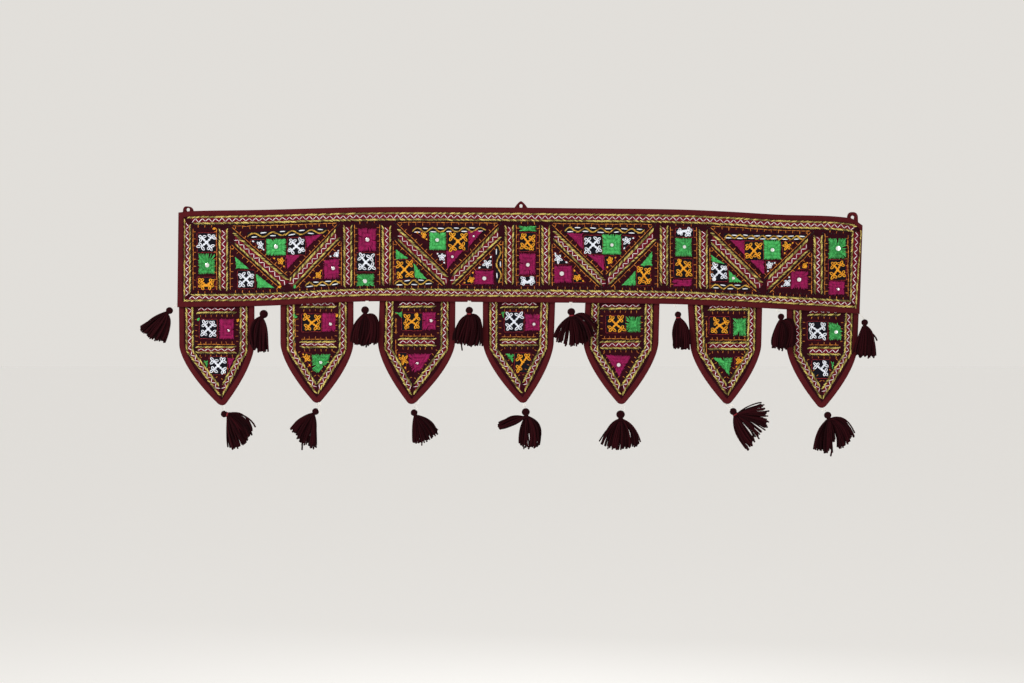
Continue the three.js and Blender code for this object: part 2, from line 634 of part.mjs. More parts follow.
// A tassel about the middle of its head: hanging thread, head and locks in one piece.
function tasselSolid(tassel) {
  const [x, y, z] = tasselAnchor(tassel);
  const anchor = new THREE.Vector3(x - tassel.x, y - tassel.y, z - tassel.z);
  const halfway = anchor.clone().multiplyScalar(THREAD_BEND).add(new THREE.Vector3(THREAD_SWAY, 0, 0));
  const route = new THREE.QuadraticBezierCurve3(anchor, halfway, new THREE.Vector3());
  const thread = strand(route, THREAD_RADIUS, THREAD_RADIUS, THREAD_SIDES, THREAD_STEPS);
  return wasm.Manifold.union([tasselHead(tassel), thread, ...tasselLocks(tassel)]);
}

const toran = new THREE.Group();

const band = new THREE.Group();
band.add(namedMesh("band_panel", bandPanel(), GROUND));
band.add(namedMesh("band_binding", bandRing(BINDING_SECTION), MAROON));
toran.add(band);

const flaps = new THREE.Group();
FLAPS.forEach((flap, i) => {
  flaps.add(namedMesh(`flap_${i + 1}_panel`, flapPanel(flap), GROUND));
  flaps.add(namedMesh(`flap_${i + 1}_binding`, flapBinding(flap), MAROON));
});
toran.add(flaps);

const loops = new THREE.Group();
for (const loop of LOOPS) {
  const mesh = namedMesh(`hanging_loop_${loop.name}`, hangingLoop(loop), MAROON);
  mesh.position.set(loop.x, 0, edgeAt(loop.x, "top"));
  loops.add(mesh);
}
toran.add(loops);

const tassels = new THREE.Group();
for (const tassel of TASSELS) {
  const mesh = namedMesh(tassel.name, tasselSolid(tassel), YARN);
  mesh.position.set(tassel.x, tassel.y, tassel.z);
  tassels.add(mesh);
}
toran.add(tassels);

export default toran;
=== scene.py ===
"""Looks of the toran: an embroidered door hanging with seven pointed flaps, bound edges and yarn tassels.

Lengths are worked out in millimetres and put into the meshes in metres.
"""
import math

import bpy
import numpy as np
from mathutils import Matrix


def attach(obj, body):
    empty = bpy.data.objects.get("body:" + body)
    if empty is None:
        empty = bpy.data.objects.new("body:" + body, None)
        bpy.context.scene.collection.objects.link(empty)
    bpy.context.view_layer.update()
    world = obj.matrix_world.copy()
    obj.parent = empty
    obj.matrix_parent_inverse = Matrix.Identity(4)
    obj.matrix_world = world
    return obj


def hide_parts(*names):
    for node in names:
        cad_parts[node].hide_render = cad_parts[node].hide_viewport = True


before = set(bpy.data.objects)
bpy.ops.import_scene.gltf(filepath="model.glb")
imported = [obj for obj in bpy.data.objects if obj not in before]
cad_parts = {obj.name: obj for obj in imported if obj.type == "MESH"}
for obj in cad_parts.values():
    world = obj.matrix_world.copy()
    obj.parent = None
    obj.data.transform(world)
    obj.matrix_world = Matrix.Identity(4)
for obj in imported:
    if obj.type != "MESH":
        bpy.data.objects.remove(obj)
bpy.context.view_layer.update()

# Camera, light and floor.
# The camera looks square on at the cloth from about two metres. Soft lamps stand to the left, to the
# right and behind it, the world is pale, and the floor lies well below the tassels.
VIEW_DISTANCE = 2.073
VIEW_MIDDLE = (-0.0131, -0.1958)
LENS, SENSOR = 50, 36
LAMP_AIM = (0, 0, -0.15)
LAMPS = [
    ("key_light", (-1.5, -1.9, 0.9), 1.1, 42),
    ("fill_light", (1.9, -1.7, 0.2), 1.6, 12),
    ("back_light", (0.4, 2.2, 0.9), 1.6, 22),
]
WORLD_COLOUR = (0.757, 0.735, 0.70, 1)
FLOOR_HEIGHT, FLOOR_HALF = -1.3, 60
FLOOR_COLOUR = (0.985, 0.985, 0.985)


def put(name, data, place=(0, 0, 0), turn=(0, 0, 0)):
    """A new object in the scene, at a place and with a turn about the three axes."""
    thing = bpy.data.objects.new(name, data)
    thing.location, thing.rotation_euler = place, turn
    bpy.context.collection.objects.link(thing)
    return thing


def shader_look(name, colour, values):
    """A material with a colour and other values on its shader, and that shader."""
    look = bpy.data.materials.new(name)
    look.use_nodes = True
    shader = look.node_tree.nodes["Principled BSDF"]
    shader.inputs["Base Color"].default_value = (*colour, 1)
    for socket, value in values.items():
        shader.inputs[socket].default_value = value
    return look, shader


camera_data = bpy.data.cameras.new("view_camera")
camera_data.lens, camera_data.sensor_width = LENS, SENSOR
view_place = (VIEW_MIDDLE[0], -VIEW_DISTANCE, VIEW_MIDDLE[1])
bpy.context.scene.camera = put("view_camera", camera_data, view_place, (math.radians(90), 0, 0))

for name, place, size, power in LAMPS:
    lamp = bpy.data.lights.new(name, "AREA")
    lamp.size, lamp.energy = size, power
    way = np.subtract(LAMP_AIM, place)
    tilt = math.atan2(math.hypot(way[0], way[1]), -way[2])
    put(name, lamp, place, (tilt, 0, math.atan2(-way[0], way[1])))

world = bpy.data.worlds.new("pale_room")
world.use_nodes = True
world.node_tree.nodes["Background"].inputs["Color"].default_value = WORLD_COLOUR
world.node_tree.nodes["Background"].inputs["Strength"].default_value = 1.0
bpy.context.scene.world = world
bpy.context.scene.view_settings.view_transform = "Standard"

SQUARE = ((-1, -1), (1, -1), (1, 1), (-1, 1))
floor_corners = [(x * FLOOR_HALF, y * FLOOR_HALF, FLOOR_HEIGHT) for x, y in SQUARE]
floor_mesh = bpy.data.meshes.new("floor")
floor_mesh.from_pydata(floor_corners, [], [(0, 1, 2, 3)])
floor_mesh.materials.append(shader_look("floor_paint", FLOOR_COLOUR, {"Roughness": 0.9})[0])
floor = put("floor", floor_mesh)

# Ground cloth of the band.
# One long strip of dark maroon cotton, lined, about 1.6 mm thick with its embroidery. It hangs in slow
# ripples, and its right end rolls back from the wall.
CLOTH_HALF = 0.8
PANEL_INSET = 1.3
BAND_HEIGHT = 140
BAND_LEFT = (-499.5, -501)
BAND_RIGHT = (500, 495)
# Places along the band with the heights of its top and its lower edge there.
BAND_EDGES = np.array(
    [
        (-502, -8, -146),
        (-480, -5.5, -145.5),
        (-383, -3.8, -144.3),
        (-226, 0, -137.5),
        (-74, 0, -138.3),
        (71, -1.2, -139.4),
        (223, -3.2, -141.5),
        (300, -6.5, -144.6),
        (370, -10.6, -148.2),
        (480, -15.5, -154.6),
        (502, -27, -156),
    ],
    dtype=float,
)
TOP, LOW = 1, 2
RIGHT_SHARE = 0.62
CURL, CURL_START = 8, 455
LONG_RIPPLE, SHORT_RIPPLE = 1.6, 0.9
BAND_COLUMNS, BAND_ROWS = 260, 38
DULL_SHINE, SILK_SHINE = 0.04, 0.2
WAVE_REPEAT = 0.314  # how far apart the waves of a wave texture lie at a scale of one
BUMP_DEPTH = 0.0003


def edge_height(x, column):
    """Height of the band's top or lower edge at x: a cubic curve through the rows of the table, whose
    slope at a row is the slope between its two neighbours."""
    places, heights = BAND_EDGES[:, 0], BAND_EDGES[:, column]
    rows = np.arange(len(places))
    before, after = np.maximum(rows - 1, 0), np.minimum(rows + 1, len(rows) - 1)
    slopes = (heights[after] - heights[before]) / (places[after] - places[before])
    i = np.clip(np.searchsorted(places, x, side="right") - 1, 0, len(rows) - 2)
    span = places[i + 1] - places[i]
    t = (x - places[i]) / span
    blend = t * t * (3 - 2 * t)
    rise = t * (1 - t) ** 2 * slopes[i] - t * t * (1 - t) * slopes[i + 1]
    return heights[i] + (heights[i + 1] - heights[i]) * blend + rise * span


def band_depth(x, z):
    """Depth of the band's cloth: a long ripple, a shorter one that grows from the top edge down, and a
    roll at the right end that grows with the square of the distance from where it starts."""
    down = np.clip(-z / BAND_HEIGHT, 0, 1.1)
    ripple = LONG_RIPPLE * np.sin(x / 78 + 0.7) + SHORT_RIPPLE * down * np.sin(x / 33 + 1.9)
    roll = np.maximum(x - CURL_START, 0) / (BAND_RIGHT[0] - CURL_START)
    return ripple + CURL * roll * roll


def mix(start, end, share):
    """The value a share of the way from start to end."""
    return start + (end - start) * share


def band_place(u, v, inset):
    """A place on the band, u of the way across and v of the way down, between edges drawn in by the
    inset."""
    left = mix(BAND_LEFT[0], BAND_LEFT[1], v) + inset
    right = mix(BAND_RIGHT[0], BAND_RIGHT[1], v) - inset * RIGHT_SHARE
    x = mix(left, right, u)
    return x, mix(edge_height(x, TOP) - inset, edge_height(x, LOW) + inset, v)


def grid_faces(rows, columns, wrap_rows=False, wrap_columns=False):
    """Corner numbers of the quads between neighbouring rows and columns of a grid of points."""
    i = np.arange(rows if wrap_rows else rows - 1)
    j = np.arange(columns if wrap_columns else columns - 1)
    i, j = np.meshgrid(i, j, indexing="ij")
    down, right = (i + 1) % rows, (j + 1) % columns
    corners = [i * columns + j, down * columns + j, down * columns + right, i * columns + right]
    return np.stack(corners, axis=-1).reshape(-1, 4)


def closed_sheet(front, back):
    """A sheet of cloth from two grids of points, its front and its back, joined round the rim."""
    rows, columns = front.shape[:2]
    count = rows * columns
    faces = grid_faces(rows, columns)
    grid = np.arange(count).reshape(rows, columns)
    rim = np.concatenate([grid[0, :-1], grid[:-1, -1], grid[-1, :0:-1], grid[:0:-1, 0]])
    following = np.roll(rim, -1)
    edge = np.stack([rim, following, following + count, rim + count], axis=1)
    points = np.concatenate([front.reshape(-1, 3), back.reshape(-1, 3)])
    return points, np.concatenate([faces, faces[:, ::-1] + count, edge])


def new_piece(name, points, faces, looks, uv=None, tone=None, look_numbers=None):
    """An object from points in millimetres and faces of three or four corners, a face with three
    repeating its last. It gets a map in face order, a tone for each point and a look for each face."""
    mesh = bpy.data.meshes.new(name)
    three = faces[:, 2] == faces[:, 3]
    sizes = np.where(three, 3, 4)
    kept = np.ones(faces.shape, dtype=bool)
    kept[three, 3] = False
    corners = faces[kept]
    mesh.vertices.add(len(points))
    mesh.vertices.foreach_set("co", (np.asarray(points) * 0.001).ravel())
    mesh.loops.add(len(corners))
    mesh.loops.foreach_set("vertex_index", corners)
    mesh.polygons.add(len(faces))
    mesh.polygons.foreach_set("loop_start", np.concatenate([[0], np.cumsum(sizes)[:-1]]))
    mesh.polygons.foreach_set("loop_total", sizes)
    mesh.polygons.foreach_set("use_smooth", np.ones(len(faces), dtype=bool))
    if look_numbers is not None:
        mesh.polygons.foreach_set("material_index", look_numbers)
    if uv is not None:
        layer = mesh.uv_layers.new(name="thread_map")
        layer.data.foreach_set("uv", uv[kept].ravel())
    if tone is not None:
        mesh.attributes.new("tone", "FLOAT", "POINT").data.foreach_set("value", tone)
    mesh.update(calc_edges=True)
    mesh.validate()
    for look in looks:
        mesh.materials.append(look)
    piece = put(name, mesh)
    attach(piece, "root")
    return piece


def fabric_look(name, colour, roughness, sheen):
    """A fabric's material and shader: the duller it is, the weaker its shine."""
    shine = DULL_SHINE if roughness > 0.7 else SILK_SHINE
    return shader_look(name, colour, {
        "Roughness": roughness, "Sheen Weight": sheen, "Sheen Roughness": 0.5, "Specular IOR Level": shine,
    })


def add_node(look, kind, inputs, **settings):
    """A node in a material, its settings made first, its inputs then set or linked."""
    node = look.node_tree.nodes.new("ShaderNode" + kind)
    for name, value in settings.items():
        setattr(node, name, value)
    for socket, value in inputs.items():
        if isinstance(value, bpy.types.NodeSocket):
            look.node_tree.links.new(value, node.inputs[socket])
        else:
            node.inputs[socket].default_value = value
    return node


def raise_threads(look, shader, strength, height):
    """Bumps of a third of a millimetre where the height is large."""
    bump = add_node(look, "Bump", {"Strength": strength, "Distance": BUMP_DEPTH, "Height": height})
    look.node_tree.links.new(bump.outputs["Normal"], shader.inputs["Normal"])


def dye(look, shader, dark, light, share):
    """A colour that goes from a dark to a light shade with the share."""
    mixed = add_node(look, "Mix", {"A": (*dark, 1), "B": (*light, 1), "Factor": share}, data_type="RGBA")
    look.node_tree.links.new(mixed.outputs["Result"], shader.inputs["Base Color"])


def woven_look(name, dark, light, thread):
    """Plain woven cotton: two crossed sets of waves a thread apart raise the weave, and broad and fine
    noise vary the dye between a dark and a light shade."""
    look, shader = fabric_look(name, light, 0.9, 0.015)
    place = add_node(look, "TexCoord", {}).outputs["Object"]
    wave_inputs = {"Scale": WAVE_REPEAT / thread, "Distortion": 0.6, "Detail": 1, "Vector": place}
    waves = [add_node(look, "TexWave", wave_inputs, bands_direction=way).outputs["Fac"] for way in ("X", "Z")]
    weave = add_node(look, "Math", {0: waves[0], 1: waves[1]}, operation="MULTIPLY")
    raise_threads(look, shader, 0.5, weave.outputs["Value"])
    shade = add_node(look, "TexNoise", {"Scale": 90, "Detail": 6, "Roughness": 0.65, "Vector": place})
    dye(look, shader, dark, light, shade.outputs["Fac"])
    return look


ground_cloth = woven_look("ground_cloth", (0.010, 0.001, 0.0025), (0.038, 0.0045, 0.009), 0.0007)


def cloth_faces(depth, x, z):
    """Front and back of a cloth: half its thickness to either side of its depth."""
    return [np.stack([x, depth(x, z) + side * CLOTH_HALF, z], axis=-1) for side in (-1, 1)]


u, v = np.meshgrid(np.linspace(0, 1, BAND_COLUMNS), np.linspace(0, 1, BAND_ROWS))
points, faces = closed_sheet(*cloth_faces(band_depth, *band_place(u, v, PANEL_INSET)))
band_cloth = new_piece("band_cloth", points, faces, [ground_cloth])
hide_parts("band_panel")

# Ground cloths of the flaps.
# Seven pointed pieces of the same lined cotton, cut with two straight sides and a tapered point, and
# sewn to the back of the band's lower edge. Each hangs with a lean and a cup of its own.
# For each flap the x of its two sides at the seam and at the shoulder, the shoulder's height, the tip,
# how far it leans, how much its sides cup and the depth that it settles to.
FLAP_PARTS = ("top", "low", "shoulder", "tip", "lean", "cup", "rest")
FLAPS = [
    dict(zip(FLAP_PARTS, row))
    for row in (
        ((-499.7, -389.6), (-499.3, -389.6), -201, (-436, -289), 2, 1.5, 0),
        ((-351.5, -244.5), (-351.3, -244.5), -199, (-297.5, -285.3), 3, -1, -0.5),
        ((-206.6, -95.6), (-209, -96.2), -198, (-160, -287.2), 1.5, 1, 0.5),
        ((-55.8, 50.1), (-55.8, 48), -197, (3, -285.3), 4, 2, 0),
        ((93.9, 202.6), (91.1, 201), -197, (146.5, -287.2), 2, -1.5, -0.5),
        ((243.4, 352.2), (247.2, 351), -201, (301, -287), 3, 1.5, 0),
        ((388, 494.9), (388, 492.5), -204, (439, -292.7), 3, -1, 1.5),
    )
]
FLAP_TUCK = 10
FLAP_BACK = 4.7
TIP_HALF = 3.75
TAPER_POWER = 1.55
STRAIGHT_ROWS, TAPER_ROWS, FLAP_COLUMNS = 16, 22, 28
TIP_SHARES = np.array([1, 0.7, 0.4, 0.12])


def flap_outline(flap, rounded=False):
    """A flap's outline down its left side, round the tip and up its right side. The sides are straight
    to the shoulder, and then draw in to the tip with a power of the way down. A rounded tip has an arc
    on each side, from the side to the middle of the tip, that touches both."""
    sides = []
    for top, low, tip in zip(flap["top"], flap["low"], (-TIP_HALF, TIP_HALF)):
        edge = edge_height(top, LOW)
        straight = np.linspace(edge + FLAP_TUCK, flap["shoulder"], STRAIGHT_ROWS, endpoint=False)
        share = np.clip((edge - straight) / (edge - flap["shoulder"]), 0, 1)
        t = np.linspace(0, 1, TAPER_ROWS)
        x = np.concatenate([mix(top, low, share), mix(low, flap["tip"][0] + tip, t**TAPER_POWER)])
        z = np.concatenate([straight, mix(flap["shoulder"], flap["tip"][1], t)])
        if rounded:
            slope = TAPER_POWER * abs(flap["tip"][0] + tip - low) / (flap["shoulder"] - flap["tip"][1])
            turn = math.pi / 2 - math.atan(slope)
            radius = TIP_HALF / math.tan(turn / 2)
            angle = turn * TIP_SHARES
            x = np.concatenate([x[:-1], flap["tip"][0] + math.copysign(radius, tip) * np.sin(angle)])
            z = np.concatenate([z[:-1], flap["tip"][1] + radius * (1 - np.cos(angle))])
        sides.append(np.stack([x, z], axis=1))
    return np.concatenate([sides[0], sides[1][::-1]])


def to_left(run):
    """Directions turned a quarter to the left."""
    return np.stack([-run[..., 1], run[..., 0]], axis=-1)


def unit(ways):
    """Directions drawn to a length of one."""
    return ways / np.linalg.norm(ways, axis=-1, keepdims=True)


def inset_line(outline, inset):
    """The outline moved inwards by the inset at right angles to it, with mitred corners."""
    normals = unit(to_left(np.diff(outline, axis=0)))
    before = np.concatenate([normals[:1], normals])
    after = np.concatenate([normals, normals[-1:]])
    mitre = unit(before + after)
    return outline + mitre * (inset / np.sum(mitre * after, axis=1))[:, None]


def flap_depth(flap, x, z):
    """Depth of a flap's cloth: behind the band at the seam, easing down to a depth of its own, with a
    lean that grows with the square of the way down and sides that cup."""
    edge = edge_height(x, LOW)
    down = np.clip((edge - z) / (edge - flap["tip"][1]), 0, 1)
    middle = (flap["top"][0] + flap["top"][1]) / 2
    across = (x - middle) / (flap["top"][1] - middle)
    settled = mix(band_depth(x, edge), flap["rest"], down * down * (3 - 2 * down))
    return FLAP_BACK + settled - flap["lean"] * down**2 + flap["cup"] * across**2 * down


def flap_grid(flap):
    """The places of a flap's cloth: rows from side to side between the two halves of its outline."""
    edge = inset_line(flap_outline(flap, rounded=True), PANEL_INSET)
    half = len(edge) // 2
    share = np.linspace(0, 1, FLAP_COLUMNS)[None, :, None]
    places = mix(edge[:half, None, :], edge[::-1][:half, None, :], share)
    return places[..., 0], places[..., 1]


flap_cloths = []
for number, flap in enumerate(FLAPS, 1):
    points, faces = closed_sheet(*cloth_faces(lambda x, z: flap_depth(flap, x, z), *flap_grid(flap)))
    cloth = new_piece(f"flap_{number}_cloth", points, faces, [ground_cloth])
    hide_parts(f"flap_{number}_panel")
    flap_cloths.append(cloth)

# Bindings of the band and the flaps.
# Straight strips of plain maroon cotton, folded lengthwise over the cut edges and sewn down along the
# front. They pucker a little at the stitches.
OUTER_FACE = np.array(
    [
        (8.1, -2), (6.2, -2.2), (4.2, -2.25), (2.2, -2.2), (0.9, -1.95), (0.2, -1.3),
        (0, 0), (0.2, 1.3), (0.9, 1.95), (4, 2.1), (8.1, 2),
    ]
)
INNER_FACE = np.array(
    [
        (8.1, -1.2), (6.2, -1.2), (4.6, -1.2), (2.8, -1.2), (1.8, -1.1), (1.2, -0.7),
        (1.05, 0), (1.2, 0.7), (1.8, 1.1), (4.6, 1.15), (8.1, 1.2),
    ]
)
BINDING_SECTION = np.concatenate([OUTER_FACE, INNER_FACE[::-1]])
BINDING_STEP, FOLD_SWAY, FOLD_SWELL, PUCKER_SHIFT = 3.5, 0.25, 0.6, 137
binding_cotton = woven_look("binding_cotton", (0.046, 0.0045, 0.0062), (0.090, 0.0098, 0.0124), 0.0006)


def pucker(along):
    """Small swellings of the fold along a strip: three waves of a few millimetres to a few centimetres."""
    fine = 0.16 * np.sin(along / 1.9) * np.sin(along / 11.3)
    return fine + 0.2 * np.sin(along / 17 + 1) + 0.14 * np.sin(along / 6.1)


def run_length(line):
    """The distance along a line at each of its places."""
    return np.concatenate([[0], np.cumsum(np.linalg.norm(np.diff(line, axis=0), axis=1))])


def binding_points(place, depth, along):
    """The strip's section carried along an edge. The part of it on the faces swells with the puckers."""
    rings = []
    for inset, out in BINDING_SECTION:
        share = min(inset / 8, 1)
        x, z = place(inset + FOLD_SWAY * share * np.sin(along / 9 + 2 * share))
        swell = math.copysign(FOLD_SWELL * share, out) * pucker(along) * (abs(out) > 1.5)
        rings.append(np.stack([x, depth(x, z) + out + swell, z], axis=-1))
    return np.stack(rings, axis=1).reshape(-1, 3)


across, down = round(1000 / BINDING_STEP), round(BAND_HEIGHT / BINDING_STEP)
u = np.linspace(0, 1, across, endpoint=False)
v = np.linspace(0, 1, down, endpoint=False)
edge_across = np.concatenate([u, np.ones(down), 1 - u, np.zeros(down)])
edge_down = np.concatenate([np.zeros(across), v, np.ones(across), 1 - v])
edge_along = np.arange(len(edge_across)) * BINDING_STEP
points = binding_points(lambda inset: band_place(edge_across, edge_down, inset), band_depth, edge_along)
faces = grid_faces(len(edge_across), len(BINDING_SECTION), wrap_rows=True, wrap_columns=True)
band_binding = new_piece("band_binding_strip", points, faces, [binding_cotton])
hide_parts("band_binding")


def strip_ends(rings):
    """Faces that close the two ends of a strip, between its outer and its inner face."""
    k = np.arange(len(OUTER_FACE) - 1)
    last = len(BINDING_SECTION) - 1
    first = np.stack([k, k + 1, last - k - 1, last - k], axis=1)
    return np.concatenate([first, first[:, ::-1] + (rings - 1) * len(BINDING_SECTION)])


flap_bindings, flap_edges = [], []
for number, flap in enumerate(FLAPS, 1):
    outline = flap_outline(flap, rounded=True)
    rings = len(outline)
    along = run_length(outline) + PUCKER_SHIFT * number
    flap_edges.append((outline, along))
    points = binding_points(
        lambda inset: inset_line(outline, np.broadcast_to(inset, rings)).T,
        lambda x, z: flap_depth(flap, x, z),
        along,
    )
    faces = np.concatenate([grid_faces(rings, len(BINDING_SECTION), wrap_columns=True), strip_ends(rings)])
    faces = faces[:, ::-1]
    strip = new_piece(f"flap_{number}_binding_strip", points, faces, [binding_cotton])
    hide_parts(f"flap_{number}_binding")
    flap_bindings.append(strip)

# Hanging loops.
# Short folded strips of the binding cotton, bent into loops and sewn in behind the top binding. They
# go over nails in the wall. Each has been pulled into a shape of its own.
# A loop's place, width and height, how far its top leans sideways, and how round it is.
LOOPS = [
    dict(name="left", x=-486, wide=16.5, high=7.6, lean=-2.5, round=0.9),
    dict(name="middle", x=0, wide=20, high=9.6, lean=0, round=0.15),
    dict(name="right", x=485, wide=17, high=10.5, lean=0, round=1),
]
LOOP_BACK = 2.7
LOOP_TUCK = 11
LOOP_HALF = 1.35
HOLE_HALF, HOLE_LOW, HOLE_TOP = 2.3, 2.4, 5.2
SEAM_SHARE, CREASE = 0.96, 0.12
ARC_STEPS, RIBBON_SIDES = 14, 14


def bend(start, middle, end, t):
    """A place on the curve that leaves the start towards the middle point and comes in to the end."""
    return (1 - t) ** 2 * start + 2 * t * (1 - t) * middle + t**2 * end


def loop_ribbon(loop):
    """A folded strip carried round an arch: each ring is a flattened oval from the hole's edge to the
    loop's outer edge, and the ring's width swells and narrows a little along the arch."""
    half, brow = loop["wide"] / 2, loop["high"] * mix(0.7, 1, loop["round"])
    side = half * mix(0.42, 1, loop["round"])
    t = np.linspace(0, 1, ARC_STEPS)[:, None]
    halves = []
    for sign in (-1, 1):
        foot, seam = np.array([sign * half, -LOOP_TUCK]), np.array([sign * half * SEAM_SHARE, 0])
        middle, end = np.array([sign * side, brow]), np.array([loop["lean"] + sign * 0.8, loop["high"]])
        halves.append(np.concatenate([mix(foot, seam, t[:-1]), bend(seam, middle, end, t)]))
    outer = np.concatenate([halves[0], halves[1][::-1]])
    angle = np.linspace(math.pi, 0, ARC_STEPS * 2)
    arch = HOLE_LOW + (HOLE_TOP - HOLE_LOW) * np.sin(angle) ** 0.8
    drop = np.linspace(-LOOP_TUCK, HOLE_LOW, ARC_STEPS - 1, endpoint=False)
    down_left = np.stack([np.full(len(drop), -HOLE_HALF * 0.8), drop], axis=1)
    hole_top = np.stack([HOLE_HALF * np.cos(angle), arch], axis=1)
    inner = np.concatenate([down_left, hole_top, down_left[::-1] * (-1, 1)])
    turn = np.linspace(0, 2 * math.pi, RIBBON_SIDES, endpoint=False)
    across = np.sign(np.cos(turn)) * np.abs(np.cos(turn)) ** 0.7
    thick = np.sign(np.sin(turn)) * np.abs(np.sin(turn)) ** 0.8
    centre, reach = (outer + inner) / 2, (outer - inner) / 2
    flat = centre[:, None, :] + reach[:, None, :] * across[None, :, None]
    top = edge_height(loop["x"], TOP)
    depth = band_depth(loop["x"], top) + LOOP_BACK + CLOTH_HALF
    crease = 1 + CREASE * np.sin(np.arange(len(outer)) * 0.9)[:, None]
    y = depth + LOOP_HALF * thick[None, :] * crease
    return np.stack([loop["x"] + flat[..., 0], y, top + flat[..., 1]], axis=-1)


def tube_caps(rings, sides, first=0):
    """Faces of three corners that close both ends of a tube round its first and last ring's first
    corner."""
    k = np.arange(1, sides - 1)
    zero = np.zeros_like(k)
    start = np.stack([zero, k, k + 1, k + 1], axis=1)
    end = np.stack([zero, k + 1, k, k], axis=1) + (rings - 1) * sides
    return np.concatenate([start, end]) + first


for loop in LOOPS:
    ribbon = loop_ribbon(loop)
    rings, sides = ribbon.shape[:2]
    faces = np.concatenate([grid_faces(rings, sides, wrap_columns=True), tube_caps(rings, sides)])
    piece = new_piece(f"loop_{loop['name']}", ribbon.reshape(-1, 3), faces, [binding_cotton])
    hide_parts(f"hanging_loop_{loop['name']}")

# Tassels.
# Some eighty short lengths of dark maroon yarn, knotted over a thread into a round head and bound at
# the neck. Each hangs from its flap's tip or from the band's edge by a thin thread.
# For each tassel where its thread leaves the cloth, the middle and size of its head, and the turn of its
# neck in degrees from straight down. Without a height the thread leaves the band's lower edge.
TASSEL_PARTS = ("name", "anchor", "head", "size", "neck")
TASSELS = [
    dict(zip(TASSEL_PARTS, row))
    for row in (
        ("tip_tassel_1", (-436, -289.4), (-433, 2, -301.6), 4.8, 78),
        ("tip_tassel_2", (-297, -285.7), (-299.5, 1, -297.9), 4.9, -40),
        ("tip_tassel_3", (-151.3, -283.6), (-156, 3, -299.6), 4.9, 25),
        ("tip_tassel_4", (3.5, -285.7), (7, 0, -298.6), 5.7, 5),
        ("tip_tassel_5", (149, -287.6), (145.3, 2, -302.3), 6.1, 2),
        ("tip_tassel_6", (298, -287.4), (309.5, 1, -297.8), 5.1, 35),
        ("tip_tassel_7", (440, -293.1), (447.5, 2, -303.4), 5.2, 20),
        ("gap_tassel_1", (-371.7, None), (-374, -5, -155.8), 6, -30),
        ("gap_tassel_2", (-224.5, None), (-226.7, -5, -150), 5.5, 0),
        ("gap_tassel_3", (-75, None), (-75.2, -5, -150.5), 5.3, 0),
        ("gap_tassel_4", (72.5, None), (73, -8, -152.7), 5.5, 8),
        ("gap_tassel_5", (224, None), (228.3, -5, -156.6), 4.6, 5),
        ("gap_tassel_6", (374, None), (377.6, -8, -159.8), 4.6, 0),
        ("end_tassel_left", (-501.6, -142), (-512.3, 0, -150.7), 5, -45),
        ("end_tassel_right", (495, None), (500, -4, -168.1), 4.7, 0),
    )
]
# For each tassel its tufts: the share of the yarns, then turn, length, bend turn and bend reach of the
# first and of the last yarn of the fan. Turns are in degrees from straight down, positive to the right.
TUFTS = {
    "tip_tassel_1": [(1, (14, 52, 2, 26), (63, 46, 102, 35))],
    "tip_tassel_2": [(1, (-52, 41, -73, 26), (1, 52, 10, 20))],
    "tip_tassel_3": [(1, (-2, 43, -10, 20), (51, 43, 72, 29))],
    "tip_tassel_4": [(0.3, (-62, 45, -90, 27), (-57, 42, -30, 25)),
                     (0.7, (-9, 48, -27, 30), (22, 51, 63, 33))],
    "tip_tassel_5": [(1, (-36, 50, -57, 21), (32, 49, 60, 31))],
    "tip_tassel_6": [(0.42, (20, 58, -6, 29), (36, 52, 38, 35)), (0.16, (40, 51, 46, 30), (56, 50, 62, 26)),
                     (0.42, (60, 53, 66, 23), (106, 43, 100, 20))],
    "tip_tassel_7": [(0.44, (-18, 52, -43, 24), (6, 51, 14, 26)), (0.1, (6, 37, 16, 22), (17, 38, 28, 22)),
                     (0.46, (18, 50, 30, 28), (54, 47, 101, 29))],
    "gap_tassel_1": [(1, (-20, 49, -64, 31), (3, 53, 19, 20))],
    "gap_tassel_2": [(1, (-22, 50, -47, 34), (20, 49, 92, 25))],
    "gap_tassel_3": [(1, (-26, 47, -55, 31), (18, 51, 90, 25))],
    "gap_tassel_4": [(0.45, (-32, 45, -51, 32), (10, 49, 22, 25)), (0.2, (9, 48, 24, 26), (28, 47, 56, 27)),
                     (0.35, (26, 47, 62, 25), (59, 44, 110, 24))],
    "gap_tassel_5": [(1, (-8, 46, -26, 29), (19, 49, 50, 28))],
    "gap_tassel_6": [(1, (-16, 46, -30, 31), (26, 43, 104, 27))],
    "end_tassel_left": [(1, (-60, 48, -71, 27), (-8, 45, 17, 18))],
    "end_tassel_right": [(1, (-15, 46, -25, 27), (15, 49, 50, 22))],
}
TUFT_DEPTH = 5
THREAD_DROP = 0.8
YARNS = 84
YARN_STEPS, YARN_SIDES = 10, 5
LENGTH_NOISE, TURN_NOISE, SWAY_NOISE = 0.04, 2.5, 0.5
HEAD_PROFILE = np.array(
    [(0, 1), (0.38, 0.93), (0.7, 0.72), (0.93, 0.38), (1, 0), (0.95, -0.35), (0.76, -0.68), (0.56, -0.84),
     (0.62, -0.93), (0.58, -1.02), (0.64, -1.1), (0.57, -1.19), (0.8, -1.34), (0.95, -1.5), (0.9, -1.62),
     (0, -1.7)]
)
HEAD_SIDES = 40
TUBE_TIP = 0.5


def around(turn, reach, depth):
    """Places about a head, by the angle from straight down, the distance and the depth."""
    angle = np.radians(turn)
    return np.stack(np.broadcast_arrays(reach * np.sin(angle), depth, -reach * np.cos(angle)), axis=-1)


